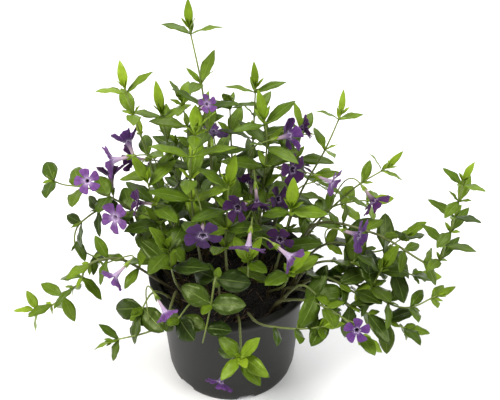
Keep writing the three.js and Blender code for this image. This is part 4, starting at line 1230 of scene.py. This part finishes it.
# Crumbs scattered by a tree: rough small stones of peat, turned and sized at random
def crumbGrowth():
    g = Growth("crumbGrowth", {
        "Count Seed": "Int", "Density": "Float", "Smallest": "Float", "Largest": "Float", "Skin": "Material",
    })
    normal = g.tree.nodes.new("GeometryNodeInputNormal")
    apart = g.tree.nodes.new("ShaderNodeSeparateXYZ")
    g.tree.links.new(normal.outputs[0], apart.inputs[0])
    onTop = g.maths("GREATER_THAN", apart.outputs[2], 0.5)
    scatter = g.tree.nodes.new("GeometryNodeDistributePointsOnFaces")
    g.tree.links.new(g.given("Geometry"), scatter.inputs["Mesh"])
    g.tree.links.new(onTop, scatter.inputs["Selection"])
    g.tree.links.new(g.given("Density"), scatter.inputs["Density"])
    g.tree.links.new(g.given("Count Seed"), scatter.inputs["Seed"])
    stone = g.add("GeometryNodeMeshIcoSphere", 1.0, 1)
    size = g.tree.nodes.new("FunctionNodeRandomValue")
    size.data_type = "FLOAT_VECTOR"
    low = g.tree.nodes.new("ShaderNodeCombineXYZ")
    high = g.tree.nodes.new("ShaderNodeCombineXYZ")
    for socket in low.inputs:
        g.tree.links.new(g.given("Smallest"), socket)
    for socket in high.inputs:
        g.tree.links.new(g.given("Largest"), socket)
    g.tree.links.new(low.outputs[0], size.inputs[0])
    g.tree.links.new(high.outputs[0], size.inputs[1])
    spin = g.tree.nodes.new("FunctionNodeRandomValue")
    spin.data_type = "FLOAT_VECTOR"
    spin.inputs[1].default_value = (6.28, 6.28, 6.28)
    spin.inputs["Seed"].default_value = 4
    placed = g.tree.nodes.new("GeometryNodeInstanceOnPoints")
    g.tree.links.new(scatter.outputs["Points"], placed.inputs["Points"])
    g.tree.links.new(stone, placed.inputs["Instance"])
    g.tree.links.new(size.outputs[0], placed.inputs["Scale"])
    turned = g.tree.nodes.new("FunctionNodeEulerToRotation")
    g.tree.links.new(spin.outputs[0], turned.inputs[0])
    g.tree.links.new(turned.outputs[0], placed.inputs["Rotation"])
    g.finish(placed.outputs[0], g.given("Skin"))
    return g


soil = soilBed()
soilSkin = soilMaterial()
soil.data.materials.append(soilSkin)
crumbs = bpy.data.objects.new("soil-crumbs", soil.data.copy())
bpy.context.scene.collection.objects.link(crumbs)
crumbs.data.materials.clear()
grow(crumbs, crumbGrowth(), dict(crumbSettings, Skin=soilSkin))
print("crumbs:", len(crumbs.data.polygons), "faces")


def fibreChains():
    settings = fibreSettings
    steps = settings["steps"]
    chains = []
    for k in range(settings["count"]):
        reach = settings["reach"] * math.sqrt(chance(k, 21))
        angle = 2 * math.pi * chance(k, 22)
        heading = 2 * math.pi * chance(k, 23)
        length = mix(*settings["lengths"], chance(k, 24))
        bend = settings["bend"] * (chance(k, 25) - 0.5)
        radius = mix(*settings["radii"], chance(k, 27) ** 3)
        x, y = reach * math.cos(angle), reach * math.sin(angle)
        chain = []
        for i in range(steps + 1):
            w = i / steps
            turn = heading + bend * w
            lift = settings["lift"] + settings["arch"] * chance(k, 26) * math.sin(math.pi * w)
            chain.append((Vector((x, y, soilHeight(x, y) + lift)), radius, 0.0))
            x += length / steps * math.cos(turn)
            y += length / steps * math.sin(turn)
            if math.hypot(x, y) > settings["edge"]:
                break
        if len(chain) > 2:
            chains.append(chain)
    return chains


fibreValues = {"Sides": fibreSettings["Sides"], "Skin": fibreMaterial()}
fibres = grow(chainCarrier("soil-fibres", fibreChains()), stemTree, fibreValues)
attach(soil, "root")
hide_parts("soil")
for piece in (crumbs, fibres):
    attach(piece, "root")
print("soil filled")


# Studio: pale floor, soft lights and the photograph's camera

studio = {
    "camera": (0.015, -0.655, 0.740),
    "pitch": 41,
    "lens": 83.7,
    "sensor": 36,
    "floorHalf": 6,
    "air": 0.5,
    "aim": (0, 0, 0.12),
}


def setStage():
    half = studio["floorHalf"]
    mesh = bpy.data.meshes.new("floor")
    corners = [(-half, -half, 0), (half, -half, 0), (half, half, 0), (-half, half, 0)]
    mesh.from_pydata(corners, [], [(0, 1, 2, 3)])
    floor = bpy.data.objects.new("floor", mesh)
    bpy.context.scene.collection.objects.link(floor)
    made, tree, shader = material("paleFloor")
    shader.inputs["Base Color"].default_value = (0.93, 0.93, 0.93, 1)
    shader.inputs["Roughness"].default_value = 0.9
    mesh.materials.append(made)
    world = bpy.data.worlds.new("studioAir")
    world.use_nodes = True
    sky = world.node_tree.nodes["Background"]
    sky.inputs["Color"].default_value = (1.0, 1.0, 1.0, 1)
    sky.inputs["Strength"].default_value = studio["air"]
    bpy.context.scene.world = world
    bpy.context.scene.view_settings.view_transform = "Standard"
    for name, place, size, power, colour in (
        ("keyLight", (-0.85, -0.4, 1.6), 0.8, 37, (1, 0.98, 0.95)),
        ("fillLight", (1.1, -0.45, 1.2), 0.8, 17, (0.99, 0.99, 1)),
        ("backLight", (0.1, 1.2, 1.2), 1.0, 8, (1, 1, 1)),
    ):
        lamp = bpy.data.lights.new(name, "AREA")
        lamp.shape = "DISK"
        lamp.size = size
        lamp.energy = power
        lamp.color = colour
        holder = bpy.data.objects.new(name, lamp)
        holder.location = place
        aim = Vector(studio["aim"]) - Vector(place)
        holder.rotation_euler = aim.to_track_quat("-Z", "Y").to_euler()
        bpy.context.scene.collection.objects.link(holder)
    view = bpy.data.cameras.new("photoView")
    view.lens = studio["lens"]
    view.sensor_width = studio["sensor"]
    view.sensor_fit = "HORIZONTAL"
    view.clip_start = 0.01
    camera = bpy.data.objects.new("photoView", view)
    camera.location = studio["camera"]
    camera.rotation_euler = Euler((math.radians(90 - studio["pitch"]), 0, 0))
    bpy.context.scene.collection.objects.link(camera)
    bpy.context.scene.camera = camera


for spare in ("Cube", "Light", "Camera"):
    if spare in bpy.data.objects:
        bpy.data.objects.remove(bpy.data.objects[spare])
setStage()
print("studio set")
